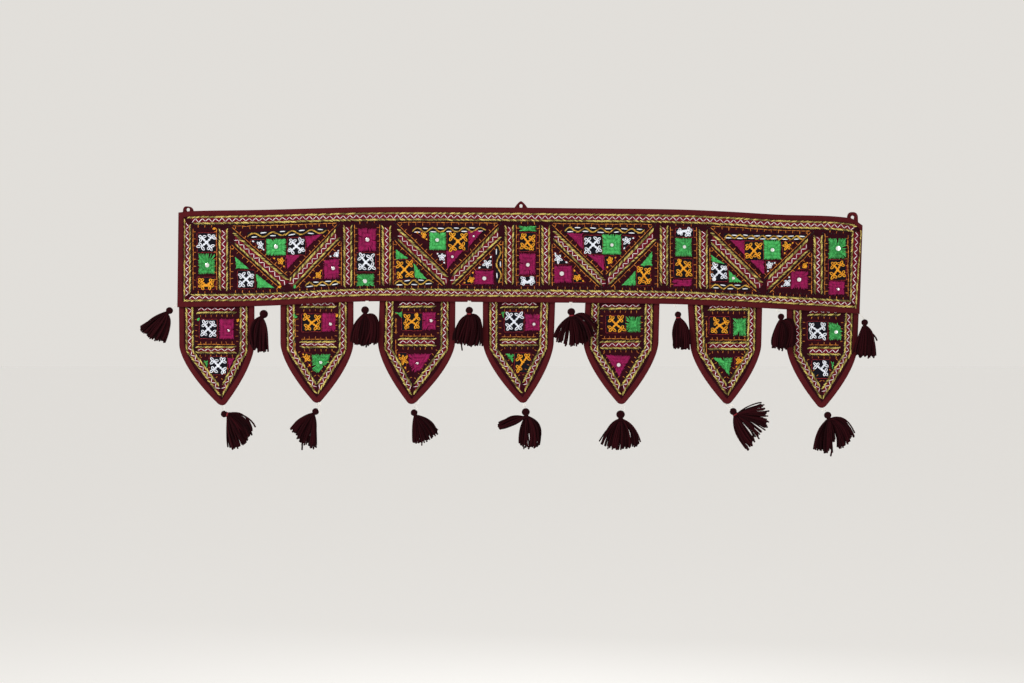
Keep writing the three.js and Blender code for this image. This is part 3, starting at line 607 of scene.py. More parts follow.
def tube_faces(steps, sides):
    """Faces of a tube of several rings that a point closes at either end, and for each of their corners
    its step along and its share around."""
    k = np.arange(sides)
    following = (k + 1) % sides
    poles = np.full(sides, steps * sides)
    last = (steps - 1) * sides
    body = grid_faces(steps, sides, wrap_columns=True)
    first = np.stack([poles, k, following, following], axis=1)
    final = np.stack([poles + 1, last + following, last + k, last + k], axis=1)
    i, j = (a.ravel() for a in np.meshgrid(np.arange(steps - 1), k, indexing="ij"))
    zero = np.zeros((sides, 4), dtype=int)
    rows = np.concatenate([np.stack([i, i + 1, i + 1, i], axis=1), zero, zero + steps - 1])
    turn = np.stack([k + 0.5, k, k + 1, k + 1], axis=1)
    back = np.stack([k + 0.5, k + 1, k, k], axis=1)
    columns = np.concatenate([np.stack([j, j, j + 1, j + 1], axis=1), turn, back]) / sides
    return np.concatenate([body, first, final]), rows, columns


def tubes(paths, radii, sides):
    """Tubes round many paths at once: a ring's corners lie on a circle across the path, and a point a
    share of the radius beyond either end closes it. Returns points, faces, map and each point's tube."""
    count, steps = paths.shape[:2]
    run = unit(np.gradient(paths, axis=1))
    reference = np.where(np.abs(run[..., 1:2]) > 0.9, (1.0, 0, 0), (0, 1.0, 0))
    sideways = unit(np.cross(run, reference))
    forward = np.cross(run, sideways)
    angle = (np.arange(sides) + 0.5)[None, None, :, None] * 2 * math.pi / sides
    ring = np.cos(angle) * sideways[:, :, None] - np.sin(angle) * forward[:, :, None]
    rings = paths[:, :, None] + ring * radii[:, :, None, None]
    before = paths[:, :1] - run[:, :1] * radii[:, :1, None] * TUBE_TIP
    after = paths[:, -1:] + run[:, -1:] * radii[:, -1:, None] * TUBE_TIP
    points = np.concatenate([rings.reshape(count, -1, 3), before, after], axis=1)
    one, rows, columns = tube_faces(steps, sides)
    faces = one[None] + (np.arange(count) * points.shape[1])[:, None, None]
    gaps = np.linalg.norm(np.diff(paths, axis=1), axis=2)
    length = np.concatenate([np.zeros((count, 1)), np.cumsum(gaps, axis=1)], axis=1)
    uv = np.stack([length[:, rows], np.broadcast_to(columns, (count, *columns.shape))], axis=-1)
    owner = np.repeat(np.arange(count), points.shape[1])
    return points.reshape(-1, 3), faces.reshape(-1, 4), uv.reshape(-1, 4, 2), owner


def join(parts):
    """Several sets of points, faces, maps and tones as one, the faces renumbered."""
    starts = np.cumsum([0] + [len(part[0]) for part in parts[:-1]])
    faces = np.concatenate([part[1] + start for part, start in zip(parts, starts)])
    return [np.concatenate([part[0] for part in parts]), faces] + [
        np.concatenate([part[k] for part in parts]) for k in (2, 3)
    ]


def thread_look(name, dark, light, twist, roughness=0.6, sheen=0.05):
    """Spun yarn: slanting waves on the map along and around each thread raise its twist, and the same waves
    paint shade into the grooves; the thread's own tone moves it between a dark and a light shade."""
    look, shader = fabric_look(name, light, roughness, sheen)
    place = add_node(look, "UVMap", {}, uv_map="thread_map")
    turned = add_node(look, "Mapping", {"Scale": (1 / twist, 1, 1), "Vector": place.outputs["UV"]})
    wave_inputs = {"Scale": 2 * WAVE_REPEAT, "Vector": turned.outputs["Vector"]}
    wave = add_node(look, "TexWave", wave_inputs, bands_direction="DIAGONAL")
    raise_threads(look, shader, 0.6, wave.outputs["Fac"])
    tone = add_node(look, "Attribute", {}, attribute_name="tone")
    # Painted shade: the low parts of the twist's waves, its grooves, take up to a quarter off the thread's
    # tone.
    painted_groove_shade = add_node(look, "MapRange", {"To Min": -0.25, "To Max": 0.1, "Value": wave.outputs["Fac"]})
    tone_with_groove_shade = add_node(look, "Math", {0: tone.outputs["Fac"], 1: painted_groove_shade.outputs["Result"]}, use_clamp=True)
    dye(look, shader, dark, light, tone_with_groove_shade.outputs["Value"])
    return look


tassel_yarn = thread_look("tassel_yarn", (0.007, 0.0009, 0.0015), (0.028, 0.0030, 0.0048), 2.6, 0.9, 0.01)
pale_thread = thread_look("pale_thread", (0.45, 0.42, 0.38), (0.86, 0.84, 0.80), 1.2)
random = np.random.default_rng(7)


def yarn_paths(tassel):
    """Middle lines of a tassel's yarns: from the neck along a bend to a place in its fan, each with its
    own small sway and length."""
    size, neck = tassel["size"], tassel["neck"]
    paths = []
    before = 0
    for part, first, last in TUFTS[tassel["name"]]:
        count = round(part * YARNS)
        share = (np.arange(count) + random.uniform(0.1, 0.9, count)) / count
        layer = random.uniform(-1, 1, count)
        across = 2 * (before + part * share) - 1
        before += part
        sideways = (across * np.sqrt(1 - 0.5 * layer**2))[:, None]
        root = around(neck, 1.15 * size, 0.55 * layer * size) + around(neck + 90, 0.55 * size, 0) * sideways
        turn, long, bow, reach = (mix(a, b, share) for a, b in zip(first, last))
        long = long * random.normal(1, LENGTH_NOISE, count)
        turn = turn + random.normal(0, TURN_NOISE, count)
        swell = np.cos(layer * 1.2) ** 0.3
        middle = around(bow, reach * swell, 0.8 * layer * TUFT_DEPTH)
        end = around(turn, long, layer * TUFT_DEPTH * 0.9)
        t = np.linspace(0, 1, YARN_STEPS)[None, :, None]
        path = bend(root[:, None], middle[:, None], end[:, None], t)
        sway = random.normal(0, SWAY_NOISE, (count, 1, 3)) * np.sin(t * random.uniform(3, 6, (count, 1, 1)))
        paths.append(path + sway * t)
    return np.concatenate(paths) + np.array(tassel["head"])


def tassel_head(tassel):
    """The wound ball and bound neck: a profile turned about the neck's axis, its radius swelling
    twelve times round where the yarns lie side by side, and ridged across where the neck is bound."""
    turn = np.linspace(0, 2 * math.pi, HEAD_SIDES, endpoint=False)
    out, up = HEAD_PROFILE[:, 0], HEAD_PROFILE[:, 1]
    ball = np.clip((up + 0.8) / 0.4, 0, 1)
    radius = out[:, None] * (1 + 0.05 * ball[:, None] * np.cos(12 * turn + 3 * up[:, None]))
    across, depth = radius * np.cos(turn), radius * np.sin(turn)
    angle = math.radians(tassel["neck"])
    x = across * math.cos(angle) - up[:, None] * math.sin(angle)
    z = across * math.sin(angle) + up[:, None] * math.cos(angle)
    points = np.stack([x, depth, z], axis=-1)[1:-1] * tassel["size"] + np.array(tassel["head"])
    poles = np.array([around(tassel["neck"], reach * tassel["size"], 0) for reach in (-1, 1.7)])
    faces = tube_faces(len(points), HEAD_SIDES)[0]
    every = np.concatenate([points.reshape(-1, 3), poles + np.array(tassel["head"])])
    uv = np.zeros((len(faces), 4, 2))
    uv[..., 0] = every[faces][..., 0] + every[faces][..., 2]
    uv[..., 1] = every[faces][..., 1] * 0.3
    return every, faces, uv, np.full(len(every), 0.45)


def tassel_anchor(tassel):
    """Where a tassel's thread leaves the cloth."""
    x, z = tassel["anchor"]
    if z is None:
        z = edge_height(x, LOW) - THREAD_DROP
    if tassel["name"].startswith("tip"):
        return np.array([x, flap_depth(FLAPS[int(tassel["name"][-1]) - 1], x, z), z])
    return np.array([x, band_depth(x, z), z])


# Loose yarns: the tassel, where the yarn bends and where it ends.
LOOSE_YARNS = [
    ("tip_tassel_5", (127, -318), (113.7, -341.4)), ("tip_tassel_7", (456, -335), (450.9, -363)),
    ("tip_tassel_2", (-322, -303), (-336, -323.3)), ("tip_tassel_2", (-321, -330), (-319.2, -353.9)),
    ("tip_tassel_3", (-146, -325), (-144.9, -347.7)), ("tip_tassel_4", (19, -325), (10.6, -352.5)),
    ("gap_tassel_3", (-93, -180), (-85.7, -208.9)), ("end_tassel_right", (507, -176), (516.8, -194.6)),
    ("tip_tassel_6", (330, -287), (349.8, -284.8)), ("tip_tassel_6", (332, -293), (349.8, -291.7)),
    ("tip_tassel_6", (334, -301), (355.2, -299)),
]
# Knots of white thread on the cloth's edge above a tassel.
KNOTS = {
    "tip_tassel_2": (-293.5, -286.5), "tip_tassel_4": (4.8, -288.3), "tip_tassel_6": (307.1, -289.1),
    "tip_tassel_7": (440.2, -295.6), "gap_tassel_2": (-224.2, -138.5), "gap_tassel_3": (-75.2, -138.5),
    "gap_tassel_4": (72.4, -140.2), "gap_tassel_5": (223.8, -143.6), "gap_tassel_6": (373.5, -150.6),
}
RED_TIES = ("tip_tassel_1", "tip_tassel_6", "gap_tassel_3", "gap_tassel_4", "gap_tassel_5")
# Second hanging threads: where each starts and ends, and how far it loops out sideways on the way.
SECOND_THREADS = {
    "tip_tassel_1": ((-433.2, -289.4), (-430.5, -298.5), 0.4),
    "tip_tassel_2": ((-295, -287), (-293, -304), 3),
    "tip_tassel_3": ((-150.5, -282.1), (-153, -296), 3.4),
    "tip_tassel_5": ((150.1, -288.3), (150.5, -298.5), 1.2),
    "tip_tassel_6": ((297.4, -286.9), (304.7, -296.5), 0.8),
}
THREAD_RADIUS, SECOND_RADIUS, KNOT_RADIUS, KNOT_SIZE = 0.5, 0.45, 0.55, 0.75
YARN_RADII = (1.0, 1.3)
KNOT_STEPS, TIE_STEPS = 36, 40


def loose_yarns(tassel):
    """Middle lines of the yarns that stand out of a tassel's skirt, with a slight wave."""
    rows = [(middle, end) for name, middle, end in LOOSE_YARNS if name == tassel["name"]]
    if not rows:
        return np.empty((0, YARN_STEPS, 3))
    head = np.array(tassel["head"])
    root = head + around(tassel["neck"], 1.2 * tassel["size"], 0)
    middle, end = (np.array([(row[k][0], head[1] - 3, row[k][1]) for row in rows]) for k in (0, 1))
    t = np.linspace(0, 1, YARN_STEPS)[None, :, None]
    wave = np.sin(t * 9) * t * np.array([0.9, 0.6, 0.5])
    return bend(root[None, None], middle[:, None], end[:, None], t) + wave


def knot_path(place, depth):
    """The middle line of a thread tied in a knot: a trefoil, three lobes that pass over and under."""
    t = np.linspace(0, 2 * math.pi, KNOT_STEPS)[:, None]
    x = place[0] + KNOT_SIZE * (np.sin(t) + 2 * np.sin(2 * t))
    z = place[1] + KNOT_SIZE * (np.cos(t) - 2 * np.cos(2 * t))
    return np.concatenate([x, depth - 0.8 * np.sin(3 * t), z], axis=1)[None]


def tie_path(tassel):
    """A red thread wound two and a half times round the neck, a screw line about the neck's axis."""
    turn = np.linspace(0, 5 * math.pi, TIE_STEPS)
    radius = tassel["size"] * 0.64 + 0.35
    down = tassel["size"] * np.linspace(0.84, 1.16, TIE_STEPS)
    side = around(tassel["neck"] + 90, 1, 0)
    ring = radius * (np.cos(turn)[:, None] * side + np.sin(turn)[:, None] * np.array([0, 1.0, 0]))
    axis = around(tassel["neck"], 1, 0)
    return (np.array(tassel["head"]) + axis * down[:, None] + ring)[None]


def even_tubes(path, radius, sides, tone):
    """A tube of one radius along a path, with one tone."""
    points, faces, uv, _ = tubes(path, np.full(path.shape[:2], radius), sides)
    return points, faces, uv, np.full(len(points), tone)


tassel_red = thread_look("tassel_red", (0.09, 0.004, 0.008), (0.24, 0.012, 0.02), 1.3)
for tassel in TASSELS:
    paths = np.concatenate([yarn_paths(tassel), loose_yarns(tassel)])
    radii = np.linspace(*YARN_RADII, YARN_STEPS)[None] * random.uniform(0.85, 1.15, (len(paths), 1))
    points, faces, uv, owner = tubes(paths, radii, YARN_SIDES)
    skirt = (points, faces, uv, random.uniform(0, 1, len(paths))[owner])
    head = tassel_head(tassel)
    start = tassel_anchor(tassel)
    top = np.array(tassel["head"]) + around(tassel["neck"], -0.9 * tassel["size"], 0)
    t = np.linspace(0, 1, 12)[:, None]
    route = bend(start + (0, 0, 1.5), (start + top) / 2 + (0.6, 0, 0), top, t)[None]
    parts, looks = [skirt, head, even_tubes(route, THREAD_RADIUS, 6, 0.6)], [0, 0, 1]
    if tassel["name"] in SECOND_THREADS:
        begin, end, swing = SECOND_THREADS[tassel["name"]]
        t = np.linspace(0, 1, 20)
        line = mix(np.array([begin]), np.array([end]), t[:, None])
        loops = swing * np.sin(t * math.pi * (3 if swing > 2 else 1)) * 0.5
        depth = mix(start[1], tassel["head"][1] - 2, t)
        route = np.stack([line[:, 0] + loops, depth, line[:, 1]], axis=1)[None]
        parts.append(even_tubes(route, SECOND_RADIUS, 6, 0.8))
        looks.append(1)
    if tassel["name"] in KNOTS:
        parts.append(even_tubes(knot_path(KNOTS[tassel["name"]], start[1] - 2.4), KNOT_RADIUS, 6, 1))
        looks.append(1)
    if tassel["name"] in RED_TIES:
        parts.append(even_tubes(tie_path(tassel), KNOT_RADIUS, 6, 0.8))
        looks.append(2)
    points, faces, uv, tone = join(parts)
    looks = np.repeat(looks, [len(part[1]) for part in parts])
    name = tassel["name"].replace("tassel", "yarn_tassel")
    piece = new_piece(name, points, faces, [tassel_yarn, pale_thread, tassel_red], uv, tone, looks)
    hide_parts(tassel["name"])

# Rope and zigzag trims.
# Two twisted gold cords with a red ribbon between them, and a pinkish white thread that runs over the
# ribbon in a zigzag. All of it is sewn down by hand on the front of the cloth.
# For each border of the band its outer and its inner cord: ends, edge and distance from the edge.
BAND_ROPES = {
    "top": ((-484, 488, TOP, -9.4), (-475, 483, TOP, -18.6)),
    "low": ((-489, 484, LOW, 9.5), (-479, 478, LOW, 17.3)),
}
SIDE_ROPES = [
    (((-490, 13), (-490.5, 130)), ((-482.5, 22), (-482.5, 118))),
    (((496.5, 12), (488.5, 130)), ((483.5, 21), (480.5, 121))),
]
UPRIGHT_ROPES = [
    (-439, -428.5, 29, 114), (-257, -247, 29, 115), (-201, -190.5, 30.5, 114), (-22, -11.5, 29, 111),
    (31.5, 41, 29, 111.5), (204, 213, 27, 110), (260.5, 270.5, 31, 113), (428, 438, 31, 112.5),
]
DIAGONAL_ROPES = [
    ((-417.5, 34.5), (-341.5, 102.5), (-416, 49.5), (-351.5, 108.5)),
    ((-271, 35), (-335.5, 102.5), (-266, 46), (-329.5, 111)),
    ((-177.5, 34), (-109, 102.5), (-177.5, 50), (-112.5, 112.5)),
    ((-34, 32.5), (-98, 99.5), (-31, 45), (-98, 112.5)),
    ((49.5, 35.5), (120, 104.5), (49, 47.5), (116.5, 112.5)),
    ((192, 31.5), (130, 97.5), (194, 46), (130, 110.5)),
    ((278.5, 33.5), (349, 101), (278.5, 49), (341, 108.5)),
    ((416.5, 37.5), (361.5, 94), (417.5, 52), (361.5, 110)),
]
DIAGONAL_ON = 5.5
FLAP_ROPES = (11.2, 19.8)
FLAP_CORNER = 9
# For each flap its two cross trims: left, right, the heights of the upper one's zigzag and cord, and of
# the lower one's cord, zigzag and cord.
CROSS_TRIMS = [
    (-472, -418, -148.5, -153.5, -204, -207.5, -212),
    (-320.5, -272, -141, -145.5, -196.5, -200, -203.8),
    (-177, -126, -140.5, -145, -192, -196, -201),
    (-28, 22.5, -140.5, -145.5, -193, -196.5, -201),
    (118, 173, -143.5, -147.5, -196, -200, -205.5),
    (275, 330, -145, -149, -197.5, -201.5, -206.5),
    (421, 464, -152, -156.5, -205, -209, -214.5),
]
ROPE_PITCH, ROPE_STROKE, ROPE_SLANT, ROPE_RADIUS = 3.3, 2.8, 1.25, 0.93
ZIGZAG_PITCH, ZIGZAG_RADIUS = 4.9, 0.6
RIBBON_HEIGHT, RIBBON_STEP, RIBBON_GIRTH, RIBBON_SHARE = 0.35, 4, 12, 0.9
SUNK = -0.4
PLACE_NOISE = 0.25


def band_spot(x, down):
    """Place on the band by its millimetres along and its share of the way down, of 140."""
    x, down = np.asarray(x, dtype=float), np.asarray(down, dtype=float)
    return np.stack([x, mix(edge_height(x, TOP), edge_height(x, LOW), down / BAND_HEIGHT)], axis=-1)


def spread(line, step):
    """The places of a line evenly spaced about a step apart, and the line's direction at each."""
    line = np.asarray(line, dtype=float)
    length = run_length(line)
    even = np.linspace(0, length[-1], max(round(length[-1] / step), 1) + 1)
    places = np.stack([np.interp(even, length, line[:, k]) for k in (0, 1)], axis=1)
    return places, unit(np.gradient(places, axis=0))


def evenly(line, count):
    """A count of places at even shares of a line's length."""
    places = spread(line, 0.5)[0]
    share, at = np.linspace(0, 1, count), np.linspace(0, 1, len(places))
    return np.stack([np.interp(share, at, places[:, k]) for k in (0, 1)], axis=1)


def off_cloth(depth, places, height):
    """Points a height off the front of a cloth, at right angles to it, and that direction."""
    x, z = places[..., 0], places[..., 1]
    slope_x, slope_z = depth(x + 0.5, z) - depth(x - 0.5, z), depth(x, z + 0.5) - depth(x, z - 0.5)
    out = unit(np.stack([slope_x, -np.ones_like(x), slope_z], axis=-1))
    return np.stack([x, depth(x, z), z], axis=-1) + out * (CLOTH_HALF + np.asarray(height))[..., None], out


def stitches(depth, start, end, radius, lift, sway=0, sides=4, steps=3, base=0.0):
    """Stitches as spindles of thread from place to place on a cloth. Half a sine wave lifts the thread
    off the cloth and sways it sideways, and it thins towards its ends, which sit in the cloth."""
    count = len(start)
    first, out = off_cloth(depth, start, np.full(count, base))
    last, _ = off_cloth(depth, end, np.full(count, base))
    run = last - first
    side = unit(np.cross(out, run))
    t = np.linspace(0.06, 0.94, steps)
    bow = np.sin(math.pi * t)[None, :, None]
    lift, sway, radius = (np.broadcast_to(value, count)[:, None] for value in (lift, sway, radius))
    paths = first[:, None] + run[:, None] * t[None, :, None] + (out * lift + side * sway)[:, None] * bow
    return tubes(paths, radius * (0.62 + 0.38 * np.sin(math.pi * t))[None], sides)


def toned(sewn, low, high):
    """Stitches with a tone of its own for each."""
    points, faces, uv, owner = sewn
    return points, faces, uv, random.uniform(low, high, owner[-1] + 1)[owner]


def rope(depth, line, slant):
    """A cord of two twisted strands, seen as slanting strokes that overlap along a line."""
    places, run = spread(line, ROPE_PITCH)
    places = places + random.normal(0, PLACE_NOISE, places.shape)
    across = to_left(run) * (ROPE_SLANT * slant)
    stroke = run * ROPE_STROKE
    start, end = places - stroke - across, places + stroke + across
    return toned(stitches(depth, start, end, ROPE_RADIUS, 1.2, sides=5, steps=4), 0, 1)


def zigzag(depth, line, half):
    """A thread from side to side of a line, a half-turn every few millimetres, a little uneven."""
    places, run = spread(line, ZIGZAG_PITCH)
    sign = np.where(np.arange(len(places)) % 2, 1, -1) * random.uniform(0.8, 1.15, len(places))
    corners = places + to_left(run) * (sign * half)[:, None] + random.normal(0, PLACE_NOISE, places.shape)
    sewn = stitches(depth, corners[:-1], corners[1:], ZIGZAG_RADIUS, 0.5, base=RIBBON_HEIGHT + 0.1)
    return toned(sewn, 0.3, 1)


def ribbon(depth, left, right):
    """A flat strip between two lines, from inside the cloth to a third of a millimetre off it. The first
    line lies to the right of the second."""
    run, wide = left[-1] - left[0], right[0] - left[0]
    if run[0] * wide[1] < run[1] * wide[0]:
        left, right = right, left
    count = max(round(run_length(left)[-1] / RIBBON_STEP), 2)
    sides = [evenly(line, count + 1) for line in (left, right)]
    section = [(0, SUNK), *((share, RIBBON_HEIGHT) for share in (0, 0.5, 1)), (1, SUNK), (0.5, SUNK)]
    rows = [off_cloth(depth, mix(*sides, share), np.full(count + 1, height))[0] for share, height in section]
    grid = np.stack(rows, axis=1)
    points = np.concatenate([grid.reshape(-1, 3), [grid[0].mean(axis=0)], [grid[-1].mean(axis=0)]])
    faces, along, around_it = tube_faces(count + 1, len(rows))
    uv = np.stack([along * RIBBON_STEP, around_it * RIBBON_GIRTH], axis=-1)
    return points, faces, uv, np.full(len(points), 0.5)


def flap_sides(flap, inset):
    """The two sides of a trim on a flap: straight down to a corner below the shoulder, then straight on
    to just short of where the two would cross."""
    outline = flap_outline(flap)
    line = inset_line(outline, np.full(len(outline), inset))
    half = len(line) // 2
    left, right = line[:half], line[half:][::-1]
    keep_left = left[:, 0] < np.interp(-left[:, 1], -right[:, 1], right[:, 0]) - 3
    keep_right = right[:, 0] > np.interp(-right[:, 1], -left[:, 1], left[:, 0]) + 3
    sides = []
    for side, kept in ((left, keep_left), (right, keep_right)):
        corner = (np.interp(-flap["shoulder"], -side[:, 1], side[:, 0]), flap["shoulder"] - FLAP_CORNER)
        straight = spread(np.array([side[0], corner, side[kept][-1]]), 1)[0]
        sides.append(straight[straight[:, 1] < edge_height(straight[:, 0], LOW) + 0.2])
    return sides


def flap_cloth_depth(number):
    """The depth rule of a flap by its number from the left, the first being 1."""
    return lambda x, z: flap_depth(FLAPS[number - 1], x, z)


def sewn_piece(name, look, parts):
    """One piece from all its threads."""
    points, faces, uv, tone = join(parts)
    new_piece(name, points, faces, [look], uv, tone)


def band_trims():
    """Pairs of cord lines of the band, each with its two widths: the border, uprights and diagonals."""
    pairs = []
    for outer, inner in BAND_ROPES.values():
        lines = []
        for left, right, column, inset in (outer, inner):
            x = np.linspace(left, right, 120)
            lines.append(np.stack([x, edge_height(x, column) + inset], axis=1))
        pairs.append((*lines, (1, 1)))
    for outer, inner in SIDE_ROPES:
        pairs.append((*(band_spot(*np.array(line, dtype=float).T) for line in (outer, inner)), (0.6, 1)))
    for left, right, start, end in UPRIGHT_ROPES:
        pairs.append((*(band_spot([x, x], [start, end]) for x in (left, right)), (1.25, 0.9)))
    for a, b, c, d in DIAGONAL_ROPES:
        lines = [band_spot(*np.array(ends).T) for ends in ((a, b), (c, d))]
        pairs.append((*lines, (1.3, 0.85), DIAGONAL_ON))
    return pairs


def trim_between(depth, outer, inner, wide=(1, 1), on=0):
    """Ribbon, two cords and a zigzag for a pair of lines, with how wide each cord is twisted and how far
    the ribbon and the zigzag go on beyond the cords."""
    lines = [evenly(line, 60) for line in (outer, inner)]
    for line in lines if on else []:
        line[-1] += unit(line[-1] - line[-2]) * on
    middle = (lines[0] + lines[1]) / 2
    apart = np.linalg.norm(lines[0] - lines[1], axis=1).mean()
    return (
        ribbon(depth, *(mix(middle, line, RIBBON_SHARE) for line in lines)),
        [rope(depth, outer, wide[0]), rope(depth, inner, -wide[1])],
        zigzag(depth, middle, min(apart * 0.5 - 2.4, 2.5)),
    )


red_ribbon = thread_look("red_ribbon", (0.07, 0.003, 0.009), (0.19, 0.008, 0.022), 1.5, 0.8)
gold_cord = thread_look("gold_cord", (0.075, 0.052, 0.008), (0.70, 0.57, 0.15), 1.6, 0.5)
pink_thread = thread_look("pink_white_thread", (0.55, 0.36, 0.41), (0.93, 0.84, 0.86), 1.2)

band_lines = band_trims()
band_sets = [trim_between(band_depth, *pair) for pair in band_lines]
flap_sets, extra_ropes, extra_zigzags, extra_ribbons = [], [], [], []
for number, flap in enumerate(FLAPS, 1):
    depth = flap_cloth_depth(number)
    for outer, inner in zip(*(flap_sides(flap, inset) for inset in FLAP_ROPES)):
        flap_sets.append(trim_between(depth, outer, inner))
    left, right, upper_zigzag, upper_cord, first, middle, last = CROSS_TRIMS[number - 1]
    upper, lower = (np.array([(left, z), (right, z)]) for z in (first, last))
    flap_sets.append(trim_between(depth, upper, lower))
    across = (left, (left + right) / 2, right)
    zigzag_line, cord_line = (np.array([(x, z) for x in across]) for z in (upper_zigzag, upper_cord))
    extra_ribbons.append(ribbon(depth, zigzag_line + (0, 2.3), zigzag_line - (0, 2.3)))
    extra_zigzags.append(zigzag(depth, zigzag_line, 1.9))
    extra_ropes.append(rope(depth, cord_line, 1))

for cloth, sets, ribbons, ropes, zigzags in (
    ("band", band_sets, [], [], []),
    ("flap", flap_sets, extra_ribbons, extra_ropes, extra_zigzags),
):
    sewn_piece(f"{cloth}_ribbons", red_ribbon, [one[0] for one in sets] + ribbons)
    sewn_piece(f"{cloth}_gold_cords", gold_cord, [cord for one in sets for cord in one[1]] + ropes)
    sewn_piece(f"{cloth}_zigzags", pink_thread, [one[2] for one in sets] + zigzags)

# Sewing of the bindings.
# A row of small maroon stitches close to the inner edge of each binding, sunk a little into its cotton.
# They hold the folded strip to the cloth.
SEWING_INSET, SEWING_PITCH, SEWING_HALF, SEWING_RADIUS = 6.9, 3.8, 1.2, 0.32
SEWING_HEIGHT, SEWING_SWELL = 1.2, 0.52


def sewing(depth, line, along):
    """Stitches along a binding with short gaps, each as high as the strip's swelling at that place."""
    places, run = spread(line, SEWING_PITCH)
    length = run_length(line)
    at = np.interp(np.linspace(0, length[-1], len(places)), length, along)
    height = SEWING_HEIGHT + SEWING_SWELL * pucker(at)
    half = run * SEWING_HALF
    return toned(stitches(depth, places - half, places + half, SEWING_RADIUS, 0.3, base=height), 0.1, 1)


edge_line = np.stack(band_place(edge_across, edge_down, SEWING_INSET), axis=-1)
sewn_rows = {"band": [sewing(band_depth, edge_line, edge_along)], "flap": []}
for number, (outline, along) in enumerate(flap_edges, 1):
    line = inset_line(outline, np.full(len(outline), SEWING_INSET))
    below = line[:, 1] < edge_height(line[:, 0], LOW) - 1
    sewn_rows["flap"].append(sewing(flap_cloth_depth(number), line[below], along[below]))
sewing_thread = thread_look("sewing_thread", (0.030, 0.0025, 0.004), (0.075, 0.0075, 0.0105), 1.0, 0.8)
for cloth, rows in sewn_rows.items():
    sewn_piece(f"{cloth}_binding_stitches", sewing_thread, rows)

# Blanket stitches and black stitches.
# Rust thread runs along most sides of a field, a few millimetres inside its cords, with short spokes
# about a centimetre apart. Black bars stand between them, and slanting black stitches follow the cords.
FIELD_TOP, FIELD_LOW = 18.6, 122.7
COLUMN_FIELDS = [(-482.5, -439), (-247, -201), (-11.5, 31.5), (213, 260.5), (438, 481.5)]
V_SIDES = [(-428.5, -257), (-190.5, -22), (41, 204), (270.5, 428)]
RUST_INSET, BLACK_INSET = 4.6, 2.3
SPOKE_PITCH, SPOKE_LONG = 10.2, 4.4
FLAP_SPOKE_PITCH, FLAP_SPOKE_LONG = 8.0, 4.0
RUST_STITCH, RUST_RADIUS, FLAP_RUST_RADIUS, BLACK_RADIUS = 6.8, 0.66, 0.6, 0.6
BAR_PITCH, BAR_LONG, BAR_START, BAR_RADIUS = 5.2, 2.4, 1.2, 0.5
BLACK_PITCH, BLACK_LONG, BLACK_SLANT = 3.3, 2.1, 1.1
# How far off its line a spoke starts, with a rust line to stand on and without one.
SPOKE_START, BARE_START = 0.2, -2.6
RUST_TRIM, BLACK_TRIM = 2.5, 3
# Upright rust lines at one side of a flap's fields, by the flap's number.
FLAP_RUST_LINES = {2: -329.5, 3: -182.5, 6: 270.5}


def crossing(first, second):
    """Where the straight lines through two pairs of places cross."""
    (a, b), (c, d) = np.array(first, dtype=float), np.array(second, dtype=float)
    along, other = b - a, d - c
    turn = along[0] * other[1] - along[1] * other[0]
    away = c - a
    return a + along * (away[0] * other[1] - away[1] * other[0]) / turn


def loop_area(corners):
    """Twice a polygon's area, positive where its corners run round to the left."""
    following = np.roll(corners, -1, axis=0)
    return np.sum(corners[:, 0] * following[:, 1] - corners[:, 1] * following[:, 0])


def drawn_in(corners, distance):
    """A polygon's corners once each of its sides has moved a distance inwards."""
    corners = np.asarray(corners, dtype=float)
    run = unit(np.roll(corners, -1, axis=0) - corners)
    moved = corners + to_left(run) * np.sign(loop_area(corners)) * distance
    sides = list(zip(moved, moved + run))
    return np.array([crossing(sides[k - 1], sides[k]) for k in range(len(sides))])


def band_fields():
    """Corners of the band's fields in millimetres along and shares down: the five upright cells, then
    the triangle inside each V and the two beside it."""
    fields = [[(a, FIELD_TOP), (b, FIELD_TOP), (b, FIELD_LOW), (a, FIELD_LOW)] for a, b in COLUMN_FIELDS]
    top = ((0, FIELD_TOP), (1, FIELD_TOP))
    low = ((0, FIELD_LOW), (1, FIELD_LOW))
    for k, (left, right) in enumerate(V_SIDES):
        down_left, down_right = DIAGONAL_ROPES[2 * k], DIAGONAL_ROPES[2 * k + 1]
        upper = down_left[:2], down_right[:2]
        lower = down_left[2:], down_right[2:]
        fields.append([crossing(upper[0], top), crossing(upper[1], top), crossing(*upper)])
        for side, line in ((left, lower[0]), (right, lower[1])):
            upright = ((side, 0), (side, 1))
            fields.append([crossing(upright, line), crossing(line, low), crossing(upright, low)])
    return fields


def polygon_sides(corners, trim):
    """A polygon's sides, each drawn back from its two corners, turned so that its inside lies left."""
    corners = np.asarray(corners, dtype=float)
    following = np.roll(corners, -1, axis=0)
    if loop_area(corners) < 0:
        corners, following = following[::-1], corners[::-1]
    run = following - corners
    long = np.linalg.norm(run, axis=1, keepdims=True)
    share = np.minimum(trim / long, 0.4)
    return list(zip(corners + run * share, following - run * share))


def running(depth, line, stitch, radius):
    """Running stitches that lie end to end along a line, each a little off it."""
    places = spread(line, stitch)[0]
    places = places + random.normal(0, PLACE_NOISE, places.shape)
    return toned(stitches(depth, places[:-1], places[1:], radius, 0.75), 0.2, 1)


def spokes(depth, line, long, pitch, start, radius, slant=0.0):
    """Short stitches to the left of a line, a pitch apart, from a start distance off it."""
    places, run = spread(line, pitch)
    places, run = (places[:-1] + places[1:]) / 2, run[:-1]
    across = to_left(run) + run * (slant + random.normal(0, 0.12, (len(run), 1)))
    reach = start + long * random.uniform(0.75, 1.15, (len(run), 1))
    return toned(stitches(depth, places + across * start, places + across * reach, radius, 0.6), 0.1, 0.9)


def on_band(pair):
    """A straight side in millimetres along and shares down as a line of places on the band."""
    t = np.linspace(0, 1, 40)[:, None]
    way = mix(np.array(pair[0])[None], np.array(pair[1])[None], t)
    return band_spot(way[:, 0], way[:, 1])[::-1]


